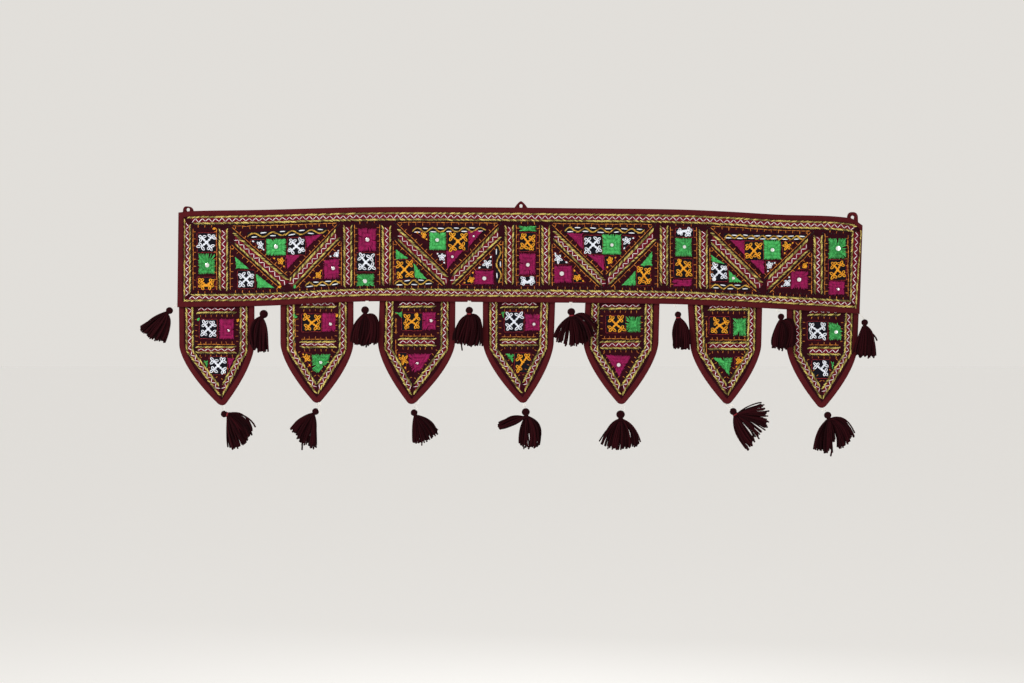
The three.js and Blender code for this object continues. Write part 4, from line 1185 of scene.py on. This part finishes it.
def flap_field_sides(flap, inset, top, low):
    """The two sides of a flap's field at an inset, between two heights, as lines with the field on
    their left."""
    left, right = flap_sides(flap, inset)
    kept = [side[(side[:, 1] < top) & (side[:, 1] > low)] for side in (left, right)]
    return [kept[0], kept[1][::-1]]


rust_parts, black_parts = {"band": [], "flap": []}, {"band": [], "flap": []}
for field in band_fields():
    for side in polygon_sides(drawn_in(field, RUST_INSET), RUST_TRIM):
        line = on_band(side)
        bare = abs(side[0][1] - side[1][1]) < 1 and (side[0][1] > BAND_HEIGHT / 2 or len(field) > 3)
        off = BARE_START if bare else SPOKE_START
        rust_parts["band"].append(spokes(band_depth, line, SPOKE_LONG, SPOKE_PITCH, off, RUST_RADIUS))
        if not bare:
            rust_parts["band"].append(running(band_depth, line, RUST_STITCH, 0.7))
        black_parts["band"].append(spokes(band_depth, line, BAR_LONG, BAR_PITCH, BAR_START, BAR_RADIUS))
    for side in polygon_sides(drawn_in(field, BLACK_INSET), BLACK_TRIM):
        slanting = spokes(band_depth, on_band(side), BLACK_LONG, BLACK_PITCH, -1.2, 0.62, BLACK_SLANT)
        black_parts["band"].append(slanting)

for number, flap in enumerate(FLAPS, 1):
    depth = flap_cloth_depth(number)
    left, right, _, upper, first, _, last = CROSS_TRIMS[number - 1]
    under_upper, over_lower, under_lower, at_lower = (
        np.array([(start, z), (end, z)])
        for start, end, z in (
            (right, left, upper - 2), (left, right, first + 4),
            (right, left, last - 2), (left, right, first + 2),
        )
    )
    rust_parts["flap"] += [
        spokes(depth, under_upper, FLAP_SPOKE_LONG, FLAP_SPOKE_PITCH, 0.8, FLAP_RUST_RADIUS),
        running(depth, over_lower, RUST_STITCH, 0.72),
        spokes(depth, over_lower, FLAP_SPOKE_LONG, FLAP_SPOKE_PITCH, SPOKE_START, FLAP_RUST_RADIUS),
        spokes(depth, under_lower, FLAP_SPOKE_LONG, FLAP_SPOKE_PITCH, 0.8, FLAP_RUST_RADIUS),
    ]
    black_parts["flap"] += [
        spokes(depth, line, long, BLACK_PITCH, -0.6, BLACK_RADIUS, BLACK_SLANT)
        for line, long in ((under_upper, 2.0), (at_lower, 1.8), (under_lower, 2.0))
    ]
    for side in flap_field_sides(flap, FLAP_ROPES[1], upper, -400):
        slanting = spokes(depth, side, BLACK_LONG, BLACK_PITCH, 1.0, BLACK_RADIUS, BLACK_SLANT)
        black_parts["flap"].append(slanting)
    for top, low in ((upper - 6, first + 4), (last - 5, flap["tip"][1] + 33)):
        for side in flap_field_sides(flap, FLAP_ROPES[1] + 2.6, top, low):
            if len(side) > 3:
                rust_parts["flap"].append(spokes(depth, side, FLAP_SPOKE_LONG, 8.5, 0.8, FLAP_RUST_RADIUS))
    if number in FLAP_RUST_LINES:
        x = FLAP_RUST_LINES[number]
        for high, low in ((upper - 16, first + 7), (first - 1, last - 14)):
            rust_parts["flap"].append(running(depth, np.array([(x, high), (x + 0.4, low)]), 7.5, 0.74))

rust_thread = thread_look("rust_thread", (0.26, 0.055, 0.009), (0.66, 0.24, 0.036), 1.3, 0.55)
black_thread = thread_look("black_thread", (0.003, 0.003, 0.003), (0.012, 0.011, 0.010), 1.3, 0.6, 0.1)
for cloth in ("band", "flap"):
    sewn_piece(f"{cloth}_rust_stitches", rust_thread, rust_parts[cloth])
    sewn_piece(f"{cloth}_black_stitches", black_thread, black_parts[cloth])

# Wavy chains with white dashes.
# A gold chain stitch waves along a narrow strip of black cloth, with a white stitch in each hollow.

# For each wave its two ends, how many times it swings to and fro, and how far to either side.
WAVES = [
    ((-396.5, 37), (-285, 34), 4, 2.9), ((-312.5, 112), (-266, 110.5), 2.5, 3.0),
    ((-156.5, 34.5), (-54, 33), 4.5, 2.9), ((-181.5, 113), (-129.5, 111), 2.5, 3.0),
    ((-33, 57), (-32, 109.5), 1.5, 3.0), ((65.5, 32), (178.5, 33), 5, 2.9),
    ((298, 37), (413.5, 33), 7, 2.4), ((278.5, 111.5), (331.5, 110.5), 2.5, 2.6),
]
STRIP_HALF, STRIP_STEPS = 4.6, 24
DASH_HALF, DASH_SHARE = 4.6, 0.34
PATCH_RINGS = 3


def rings_drawn_in(depth, middle, outline, levels, ends):
    """Points and faces of a closed form on a cloth: for each level the outline drawn in to a share
    about its middle, at a height, and a point over the middle at either end."""
    loops = [(middle + (outline - middle) * share, height) for share, height in levels]
    loops = [off_cloth(depth, places, np.full(len(places), height))[0] for places, height in loops]
    poles = [off_cloth(depth, middle[None], np.array([height]))[0] for height in ends]
    return np.concatenate(loops + poles), tube_faces(len(loops), len(outline))[0]


def patch(depth, outline, height):
    """A flat piece of cloth inside an outline: rings of points drawn in towards the middle on its face
    and on its back, which lies in the ground cloth, with a point at the middle of each."""
    outline = np.asarray(outline, dtype=float)
    if loop_area(outline) < 0:
        outline = outline[::-1]
    shares = np.linspace(0, 1, PATCH_RINGS + 1)[1:]
    levels = [(share, height) for share in shares] + [(share, SUNK) for share in shares[::-1]]
    points, faces = rings_drawn_in(depth, outline.mean(axis=0), outline, levels, (height, SUNK))
    return points, faces, points[faces][..., [0, 2]] * 0.5, np.full(len(points), 0.5)


def patch_outline(corners, step=2.5):
    """A polygon's outline as places about a step apart."""
    closed = np.concatenate([corners, corners[:1]])
    parts = [spread(closed[k : k + 2], step)[0][:-1] for k in range(len(corners))]
    return np.concatenate(parts)


wave_chains, wave_dashes, wave_strips = [], [], []
for start, end, count, tall in WAVES:
    start, way = np.array(start), np.subtract(end, start)
    long = np.linalg.norm(way)
    across = -to_left(way) / long
    t = np.linspace(0, 1, round(long / 1.6))
    path = start + way * t[:, None] + across * (tall * np.sin(2 * math.pi * count * t))[:, None]
    wave_chains.append(rope(band_depth, band_spot(*path.T), 0.5))
    turn = (np.arange(2 * count) + 0.5) / (2 * count)
    side = np.where(np.arange(len(turn)) % 2, 1.0, -1.0)[:, None] * across
    middle = start + way * turn[:, None] + side * tall * 0.9
    half = way / long * min(DASH_HALF, DASH_SHARE * long / count)
    ends = [band_spot(*(middle + sign * half + random.normal(0, 0.5, middle.shape)).T) for sign in (-1, 1)]
    wave_dashes.append(toned(stitches(band_depth, *ends, 0.85, 0.9, sides=5, steps=5), 0.4, 1))
    strip = start + way * np.linspace(-0.02, 1.02, STRIP_STEPS)[:, None]
    edges = [band_spot(*(strip + sign * across * STRIP_HALF).T) for sign in (-1, 1)]
    wave_strips.append(ribbon(band_depth, *edges))

# Patches with mirrors.
# Each square or triangle is filled with stitches that run from its edge towards the middle in two
# rings, over a base of the same thread. Some hold a small round mirror under a sewn rim.

# The flap's number, 0 on the band, then the thread, the corners, the mirror's place and its radius.
THREAD_FIELDS = [
    (0, "green", [(-470.5, 62), (-446, 62.5), (-446, 92.5), (-470.5, 92)], (-457.5, 79.5), 3.6),
    (0, "green", [(-371.5, 42.5), (-342, 43.5), (-342, 67.5), (-371.5, 66.5)], (-357, 54.5), 3.4),
    (0, "magenta", [(-314.5, 41), (-289.5, 38.5), (-312, 57.5)], None, 0),
    (0, "magenta", [(-342.5, 67), (-321.5, 68), (-340.5, 88)], None, 0),
    (0, "green", [(-417, 67.5), (-396.5, 85.5), (-415.5, 84.5)], None, 0),
    (0, "green", [(-386.5, 92.5), (-360, 114), (-384, 113.5)], None, 0),
    (0, "magenta", [(-288, 77), (-264.5, 75), (-264.5, 105.5), (-287, 105)], (-273.5, 89.5), 3.1),
    (0, "magenta", [(-237, 31), (-210.5, 31.5), (-210.5, 66), (-237, 66)], (-223.5, 48.5), 3.4),
    (0, "green", [(-239, 99), (-213.5, 99.5), (-213.5, 117), (-239, 116.5)], (-227, 110), 3.4),
    (0, "green", [(-133.5, 37.5), (-109, 37.5), (-109, 64), (-133.5, 64)], (-122, 49), 3.2),
    (0, "magenta", [(-77, 35), (-55, 34), (-75.5, 58)], (-69, 43), 1.8),
    (0, "magenta", [(-109, 65), (-84, 63.5), (-107.5, 91.5)], (-100, 73.5), 2.4),
    (0, "green", [(-182.5, 63), (-163.5, 76.5), (-182, 78)], None, 0),
    (0, "green", [(-156.5, 83), (-137.5, 107), (-154, 105.5)], None, 0),
    (0, "magenta", [(-68, 93.5), (-39.5, 93.5), (-39.5, 113.5), (-68, 114)], (-53.5, 105), 3.4),
    (0, "green", [(-3, 27.5), (22, 27.5), (22, 34.5), (-3, 34.5)], None, 0),
    (0, "magenta", [(-2.5, 67), (21.5, 67), (21.5, 99.5), (-2.5, 100)], (10, 84.5), 3.2),
    (0, "magenta", [(66.5, 36.5), (90, 37.5), (90.5, 61)], None, 0),
    (0, "green", [(118, 38.5), (146, 38), (146, 68), (118, 68)], (132.5, 54), 2.9),
    (0, "magenta", [(98, 69), (121, 69), (121.5, 92)], None, 0),
    (0, "magenta", [(48, 85), (75, 85), (75, 110.5), (48, 111)], (59.5, 97), 3.7),
    (0, "green", [(191, 63), (191, 84), (173.5, 84.5)], None, 0),
    (0, "green", [(167, 91.5), (167.5, 113), (147.5, 113)], None, 0),
    (0, "green", [(224.5, 42.5), (249, 41.5), (249, 69), (224.5, 70)], (238, 55), 2.9),
    (0, "magenta", [(221, 103.5), (249, 103), (249, 112.5), (221, 113.5)], None, 0),
    (0, "magenta", [(305, 42), (325, 41.5), (325, 62.5)], None, 0),
    (0, "green", [(353, 39), (378.5, 38), (378.5, 66.5), (353, 68)], (366, 53), 3.2),
    (0, "magenta", [(333.5, 70), (354, 69), (354.5, 90.5)], None, 0),
    (0, "green", [(276, 65), (294.5, 77), (278, 76)], None, 0),
    (0, "green", [(302.5, 87.5), (321.5, 103.5), (302.5, 104.5)], (309, 98), 2.6),
    (0, "magenta", [(393, 82.5), (418.5, 81.5), (418.5, 108), (393, 109.5)], (405, 95), 3.4),
    (0, "green", [(448, 32.5), (474, 30.5), (474, 61), (448, 62.5)], (462, 46.5), 4.0),
    (0, "magenta", [(448, 95), (471.5, 93.5), (471.5, 113.5), (448, 115)], (462, 106), 2.2),
    (1, "magenta", [(-441, -162.5), (-419.5, -162.5), (-419.5, -192.5), (-441, -192.5)], (-427, -180), 2.0),
    (1, "magenta", [(-428, -220), (-418.5, -220), (-426, -235)], None, 0),
    (1, "green", [(-463, -223.5), (-457, -223.5), (-458.5, -233.5)], None, 0),
    (2, "magenta", [(-290.5, -154), (-270.5, -154), (-270.5, -181.5), (-290.5, -181.5)], (-278, -170.5), 2.6),
    (2, "green", [(-305.5, -215), (-278, -214), (-280.5, -226.5), (-296, -242), (-304.5, -238.5)],
     (-292, -226.5), 2.6),
    (3, "magenta", [(-144, -153), (-124.5, -153), (-124.5, -179), (-144, -179)], (-131, -165.5), 2.6),
    (3, "green", [(-183.5, -153.5), (-173.5, -152.5), (-173.5, -161.5)], None, 0),
    (3, "magenta", [(-164.5, -213.5), (-131, -213.5), (-146, -238.5), (-157.5, -242), (-165, -226.5)],
     (-151, -227.5), 2.1),
    (4, "magenta", [(6, -155.5), (28, -155.5), (28, -180), (6, -180)], (19, -170.5), 2.6),
    (4, "green", [(-22, -214), (-9.5, -214), (-12, -226.5)], None, 0),
    (4, "green", [(-28.5, -153), (-24.5, -153), (-25.5, -161.5)], None, 0),
    (5, "green", [(153, -159), (175.5, -159), (175.5, -182.5), (153, -182.5)], None, 0),
    (5, "magenta", [(123.5, -215), (161.5, -216.5), (143.5, -247.5)], (142.5, -230), 3.2),
    (6, "green", [(309.5, -162), (328.5, -162), (328.5, -187.5), (309.5, -187.5)], None, 0),
    (6, "green", [(280, -219), (308.5, -219.5), (303.5, -245)], None, 0),
    (7, "green", [(449, -167.5), (464.5, -169.5), (470.5, -183.5), (467, -193.5), (449.5, -193.5)],
     (460, -182), 3.0),
    (7, "green", [(453, -225.5), (456.5, -225.5), (455, -235)], None, 0),
]
STITCH_PITCH, OPEN_PITCH = 1.55, 2.5
OPEN_BASE, FULL_BASE = 0.55, 0.82
MIRROR_SIDES = 32
# The mirror's rings as shares of its radius and heights, out from near its middle and back beneath.
MIRROR_LEVELS = [(0.35, 1.24), (0.7, 1.18), (0.95, 1.08), (1, 0.95), (1, 0.1), (0.5, 0.1)]
MIRROR_ENDS = (1.26, 0.1)
FILL_RADIUS, MIDDLE_RADIUS, MISSING_SHARE = 0.78, 0.85, 0.06
RIM_PITCH, RIM_RADIUS, RIM_LEAN, RIM_GAP = 1.1, 0.55, 0.28, 0.4
BASE_HEIGHT = 0.3


def radial_fill(depth, corners, middle, rim, pitch):
    """Stitches from the edge of a polygon towards a middle place: an outer ring over the half nearer
    the edge, and an inner ring, of half as many, that overlaps it and ends at the mirror's rim. A wider
    pitch leaves slits of dark cloth between them."""
    edge = patch_outline(corners, pitch)
    away = edge - middle
    reach = np.linalg.norm(away, axis=1, keepdims=True)
    near = rim + RIM_GAP
    count = len(edge)
    outer = middle + away * (1 + random.normal(-0.1, 0.55, (count, 1)) / reach)
    turn = middle + away * random.uniform(0.46, 0.58, (count, 1))
    inner = middle + away[::2] * random.uniform(0.55, 0.68, (len(away[::2]), 1))
    last = middle + away[::2] * np.minimum(near / reach[::2], 0.4)
    sewn = random.uniform(0, 1, count) > MISSING_SHARE
    rows = [
        stitches(depth, outer[sewn], turn[sewn], FILL_RADIUS, 0.9, base=0.15),
        stitches(depth, inner, last, MIDDLE_RADIUS, 0.95, base=0.2),
    ]
    return [toned(row, 0.15, 1) for row in rows]


def mirror_disc(depth, middle, radius):
    """A round mirror, slightly domed, from its middle out in rings and back beneath the cloth."""
    turn = np.linspace(0, 2 * math.pi, MIRROR_SIDES, endpoint=False)
    circle = middle + radius * np.stack([np.cos(turn), np.sin(turn)], axis=1)
    points, faces = rings_drawn_in(depth, middle, circle, MIRROR_LEVELS, MIRROR_ENDS)
    return points, faces, points[faces][..., [0, 2]], np.full(len(points), 0.5)


def mirror_rim(depth, middle, radius):
    """Short stitches that lean round a mirror's edge and hold it."""
    count = round(2 * math.pi * radius / RIM_PITCH)
    turn = np.linspace(0, 2 * math.pi, count, endpoint=False)
    ends = [middle + (radius + off) * np.stack([np.cos(turn + lean), np.sin(turn + lean)], axis=1)
            for off, lean in ((-0.5, 0.0), (1.1, RIM_LEAN))]
    return toned(stitches(depth, *ends, RIM_RADIUS, 0.8, base=0.9), 0.2, 0.9)


def on_cloth(number, *places):
    """The cloth of a number, 0 for the band, its depth rule, and places on it."""
    if number:
        return "flap", flap_cloth_depth(number), [np.array(place, dtype=float) for place in places]
    return "band", band_depth, [band_spot(*np.array(place, dtype=float).T) for place in places]


fills = {(cloth, thread): [] for cloth in ("band", "flap") for thread in ("green", "magenta")}
bases = {key: [] for key in fills}
mirrors = {"band": [], "flap": []}
for number, thread, corners, mirror, radius in THREAD_FIELDS:
    middle = np.mean(corners, axis=0) if mirror is None else mirror
    cloth, depth, (corners, middle) = on_cloth(number, corners, middle)
    is_open = number or any(left < middle[0] < right for left, right in COLUMN_FIELDS)
    pitch = OPEN_PITCH if is_open and thread == "green" else STITCH_PITCH
    fills[cloth, thread] += radial_fill(depth, corners, middle, radius, pitch)
    drawn = mix(corners.mean(axis=0), corners, OPEN_BASE if is_open else FULL_BASE)
    bases[cloth, thread].append(patch(depth, patch_outline(drawn), BASE_HEIGHT))
    if mirror is not None:
        mirrors[cloth].append(mirror_disc(depth, middle, radius))
        fills[cloth, thread].append(mirror_rim(depth, middle, radius))

# Crosses and sprigs.
# Four arms of thick chain stitch, each ending in three open loops, on a patch of black cloth with a red
# edge. A sprig is five loops that leave one middle. All are of white or orange thread.

# The flap's number or 0, then the thread, the middle, the width, the height and which arms it has.
CROSSES = [
    (0, "white", -458, 46.5, 26, 27, "full"), (0, "orange", -459, 105.5, 24, 16, "top"),
    (0, "white", -327, 55, 25, 23.5, "full"), (0, "white", -400.5, 100.5, 24, 25, "full"),
    (0, "white", -226, 82, 27, 26.5, "full"), (0, "orange", -92, 50.5, 29, 27, "full"),
    (0, "orange", -169.5, 93, 26, 27.5, "full"), (0, "orange", 9.5, 51, 23.5, 26, "full"),
    (0, "white", 9, 108, 25, 11.5, "top"), (0, "white", 105, 54, 25.5, 26, "full"),
    (0, "orange", 179, 98.5, 19, 27.5, "full"), (0, "white", 238, 34, 25, 11.5, "low"),
    (0, "orange", 236.5, 87, 26, 26.5, "full"), (0, "orange", 339, 56, 26, 27.5, "full"),
    (0, "white", 288.5, 90, 23.5, 25.5, "full"), (0, "orange", 461, 78, 24.5, 28.5, "full"),
    (1, "white", -457, -177.5, 24, 26.5, "full"), (1, "white", -442, -231, 25, 24.5, "full"),
    (2, "orange", -305.5, -168.5, 27.5, 24.5, "full"), (3, "orange", -159, -167, 29, 24, "full"),
    (4, "white", -10, -167, 27, 28, "full"), (4, "orange", 2.5, -227, 22.5, 27.5, "three_left"),
    (5, "orange", 138.5, -170.5, 27.5, 24, "full"), (6, "orange", 289.5, -172.5, 28.5, 24, "full"),
    (7, "white", 433, -180, 28.5, 25.5, "full"), (7, "white", 438, -236, 25, 25.5, "three_right"),
]
# The flap's number or 0, then the thread, the patch's corners, the sprig's middle and its size.
SPRIGS = [
    (0, "white", [(-395, 43), (-372.5, 43.5), (-372.5, 61)], (-380, 52), 9),
    (0, "orange", [(-363.5, 69.5), (-343, 69.5), (-343, 87)], (-350, 76), 9),
    (0, "white", [(-264.5, 61.5), (-264.5, 73.5), (-281, 73)], (-269, 69), 6),
    (0, "orange", [(-289, 89.5), (-289, 104.5), (-304.5, 104)], (-295, 98.5), 8),
    (0, "orange", [(-155, 36.5), (-135.5, 37.5), (-135.5, 50.5)], (-141.5, 42.5), 7),
    (0, "white", [(-124, 67), (-110, 66.5), (-110, 86)], (-115.5, 74.5), 9),
    (0, "white", [(-41.5, 69), (-41.5, 91), (-65.5, 92)], (-49.5, 83), 11),
    (0, "orange", [(-69, 92.5), (-69, 114), (-86.5, 114)], (-73, 106.5), 8),
    (0, "white", [(147, 40), (167.5, 41.5), (148.5, 63.5)], (155, 48), 11),
    (0, "orange", [(121, 70), (141, 70.5), (124, 91)], (130, 77.5), 9),
    (0, "white", [(48, 64), (71.5, 83), (48, 83.5)], (54.5, 74.5), 11),
    (0, "orange", [(75.5, 88), (94, 110), (76.5, 110.5)], (83, 102.5), 9),
    (0, "orange", [(379.5, 39.5), (399, 39), (382, 61.5)], (387.5, 46.5), 10),
    (0, "white", [(355, 69.5), (372.5, 70), (358, 88.5)], (362, 76.5), 8),
    (0, "orange", [(418.5, 68), (418.5, 78.5), (401.5, 80.5)], (413, 74), 6),
    (0, "white", [(392, 88.5), (392, 107.5), (376.5, 108.5)], (387, 100.5), 9),
    (2, "orange", [(-320, -212), (-306.5, -212.5), (-306.5, -234.5)], (-312, -220.5), 9),
    (3, "orange", [(-180, -212), (-166, -212), (-167.5, -239)], (-171, -223), 13),
    (6, "orange", [(312, -217.5), (325, -217.5), (312.5, -236)], (318, -224.5), 8),
]
# Small leaves between the fields: the flap's number or 0, the thread, the place and the turn.
LEAVES = [
    (0, "green", -329.4, 114, 75), (0, "orange", -351.4, 113, 20), (0, "orange", -447, 26.5, 10),
    (1, "green", -471.1, -163.5, 60), (2, "green", -328.9, -159.8, 10), (2, "green", -331, -157.5, 80),
    (1, "orange", -413.5, -165, 60), (2, "orange", -268.5, -158, 65),
]
ARMS = {"full": (45, 135, 225, 315), "top": (45, 135, 180, 0), "low": (225, 315, 180, 0),
        "three_left": (45, 135, 225), "three_right": (45, 135, 315)}
LOOP_LONG, LOOP_TURN = 0.265, 88
STRAND, STRAND_SWAY, LOOP_STRAND, LOOP_SWAY = 0.86, 0.8, 0.74, 1.55
SPRIG_STRAND, SPRIG_SWAY = 0.72, 1.2
# A cross that is cut off above or below has its middle moved towards the cut, and longer arms.
HALF_SHIFT, HALF_STRETCH = 0.22, 1.35
ARM_NOISE, LEAN_NOISE, SPRIG_NOISE = 0.9, 16, 9
CROSS_MARGIN, CROSS_PATCH_HEIGHT, SPRIG_PATCH_HEIGHT = 0.4, 0.4, 0.35
LEAF_HALF = 2.6


def turned_to(angle):
    """The direction at an angle in degrees, from straight right round to straight up."""
    return np.stack([np.cos(np.radians(angle)), np.sin(np.radians(angle))], axis=-1)


def chain(depth, starts, ends, radius, sway):
    """Links of chain stitch: two strands from start to end, one bowed to either side."""
    tone_with_groove_shade = [np.concatenate([part, part]) for part in (starts, ends)]
    sways = np.repeat([sway, -sway], len(starts))
    return toned(stitches(depth, *tone_with_groove_shade, radius, 1.25, sways, sides=5, steps=5, base=0.45), 0.35, 1)


def cross_motif(depth, middle, wide, high, arms):
    """A cross of chain stitch in a box: three links out along each arm, then three loops at its end."""
    angle = np.array(ARMS[arms], dtype=float)
    half = np.array([wide, high]) / 2
    if arms in ("top", "low"):
        sign = 1 if arms == "top" else -1
        middle = middle - (0, sign * high * HALF_SHIFT)
        half = half * (1, HALF_STRETCH)
    tips = middle + np.sign(np.round(turned_to(angle), 3)) * half * 0.5
    tips = tips + random.normal(0, ARM_NOISE, tips.shape)
    share = np.arange(3) / 3
    starts = mix(middle, tips[:, None], share[None, :, None]).reshape(-1, 2)
    ends = mix(middle, tips[:, None], share[None, :, None] + 1 / 3).reshape(-1, 2)
    out = np.degrees(np.arctan2(*(tips - middle).T[::-1]))
    fan = np.array([0, LOOP_TURN, -LOOP_TURN])
    lean = out[:, None] + (fan[None] + random.normal(0, LEAN_NOISE, (len(out), 3)))
    long = LOOP_LONG * (wide + high) / 2 * random.uniform(0.8, 1.15, lean.shape)
    roots = np.repeat(tips, 3, axis=0)
    loops = roots + turned_to(lean.ravel()) * long.ravel()[:, None]
    links = chain(depth, starts, ends, STRAND, STRAND_SWAY)
    return [links, chain(depth, roots, loops, LOOP_STRAND, LOOP_SWAY)]


def sprig_motif(depth, corners, middle, size):
    """A sprig of chain stitch on its patch: four loops that cross, the one away from the longest side
    forked, and a single stitch out towards each of that side's ends."""
    sides = np.roll(corners, -1, axis=0) - corners
    longest = np.argmax(np.linalg.norm(sides, axis=1))
    square = corners[(longest + 2) % len(corners)]
    back = np.degrees(np.arctan2(*(square - middle)[::-1]))
    lean = back + np.array([-25, 25, 95, -95, 180]) + random.normal(0, SPRIG_NOISE, 5)
    long = size * np.array([0.7, 0.7, 0.7, 0.7, 0.55]) * random.uniform(0.85, 1.15, 5)
    roots = np.repeat(middle[None], 5, axis=0)
    loops = chain(depth, roots, middle + turned_to(lean) * long[:, None], SPRIG_STRAND, SPRIG_SWAY)
    ends = corners[[longest, (longest + 1) % len(corners)]]
    start, end = mix(middle, ends, 0.6), mix(middle, ends, 0.78)
    return [loops, chain(depth, start, end, 0.7, 0.5)]


def red_edge(depth, corners, stitch, radius):
    """Running stitches along each side of a patch."""
    return [running(depth, np.array(side), stitch, radius) for side in polygon_sides(corners, 0.5)]


motifs = {(cloth, thread): [] for cloth in ("band", "flap") for thread in ("white", "orange")}
black_patches, red_edges = {"band": list(wave_strips), "flap": []}, {"band": [], "flap": []}
for number, thread, x, z, wide, high, arms in CROSSES:
    cloth, depth, (middle,) = on_cloth(number, (x, z))
    motifs[cloth, thread] += cross_motif(depth, middle, wide, high, arms)
    corners = middle + np.array(SQUARE) * (wide / 2 + CROSS_MARGIN, high / 2 + CROSS_MARGIN)
    black_patches[cloth].append(patch(depth, patch_outline(corners), CROSS_PATCH_HEIGHT))
    red_edges[cloth] += red_edge(depth, drawn_in(corners, -0.5), 4.2, 0.5)
for number, thread, corners, middle, size in SPRIGS:
    cloth, depth, (corners, middle) = on_cloth(number, corners, middle)
    motifs[cloth, thread] += sprig_motif(depth, corners, middle, size)
    black_patches[cloth].append(patch(depth, patch_outline(corners), SPRIG_PATCH_HEIGHT))
    red_edges[cloth] += red_edge(depth, corners, 4.0, 0.48)
for number, thread, x, z, turn in LEAVES:
    cloth, depth, (middle,) = on_cloth(number, (x, z))
    half = turned_to(turn) * LEAF_HALF
    leaf = chain(depth, (middle - half)[None], (middle + half)[None], 0.8, 0.9)
    (motifs if thread == "orange" else fills)[cloth, thread].append(leaf)

white_floss = thread_look("white_floss", (0.52, 0.55, 0.62), (0.86, 0.89, 0.95), 1.4, 0.45)
orange_floss = thread_look("orange_floss", (0.50, 0.17, 0.008), (0.90, 0.42, 0.02), 1.4, 0.45)
green_floss = thread_look("green_floss", (0.02, 0.22, 0.045), (0.08, 0.53, 0.13), 1.4, 0.5)
magenta_floss = thread_look("magenta_floss", (0.15, 0.001, 0.04), (0.32, 0.002, 0.085), 1.4, 0.6, 0.02)
green_base = thread_look("green_base", (0.012, 0.12, 0.02), (0.03, 0.26, 0.045), 1.4)
magenta_base = thread_look("magenta_base", (0.09, 0.001, 0.025), (0.2, 0.003, 0.055), 1.4)
navy_cloth = woven_look("navy_cloth", (0.003, 0.003, 0.005), (0.010, 0.010, 0.016), 0.0006)
wave_thread = thread_look("wave_thread", (0.22, 0.11, 0.015), (0.66, 0.40, 0.06), 1.3)
red_thread = thread_look("red_thread", (0.12, 0.006, 0.009), (0.34, 0.02, 0.024), 1.3)
mirror_glass, _ = shader_look("mirror_glass", (0.96, 0.965, 0.97), {"Metallic": 1.0, "Roughness": 0.12})

for cloth in ("band", "flap"):
    rows = [
        ("green_fills", green_floss, fills[cloth, "green"]),
        ("magenta_fills", magenta_floss, fills[cloth, "magenta"]),
        ("green_bases", green_base, bases[cloth, "green"]),
        ("magenta_bases", magenta_base, bases[cloth, "magenta"]),
        ("mirrors", mirror_glass, mirrors[cloth]),
        ("black_patches", navy_cloth, black_patches[cloth]),
        ("white_motifs", white_floss, motifs[cloth, "white"]),
        ("orange_motifs", orange_floss, motifs[cloth, "orange"]),
        ("red_edges", red_thread, red_edges[cloth]),
    ]
    if cloth == "band":
        rows += [("wavy_chains", wave_thread, wave_chains), ("white_dashes", white_floss, wave_dashes)]
    for part, look, parts in rows:
        sewn_piece(f"{cloth}_{part}", look, parts)

# Sheets.
# The band hangs from its loops and the flaps from the band, each a sheet of cloth with its binding. The
# flat sizes are in metres, and a flap's point takes a fifth off its rectangle.
for cloth, strip, flap in zip(flap_cloths, flap_bindings, FLAPS):
    wide = (flap["top"][1] - flap["top"][0]) * 0.001
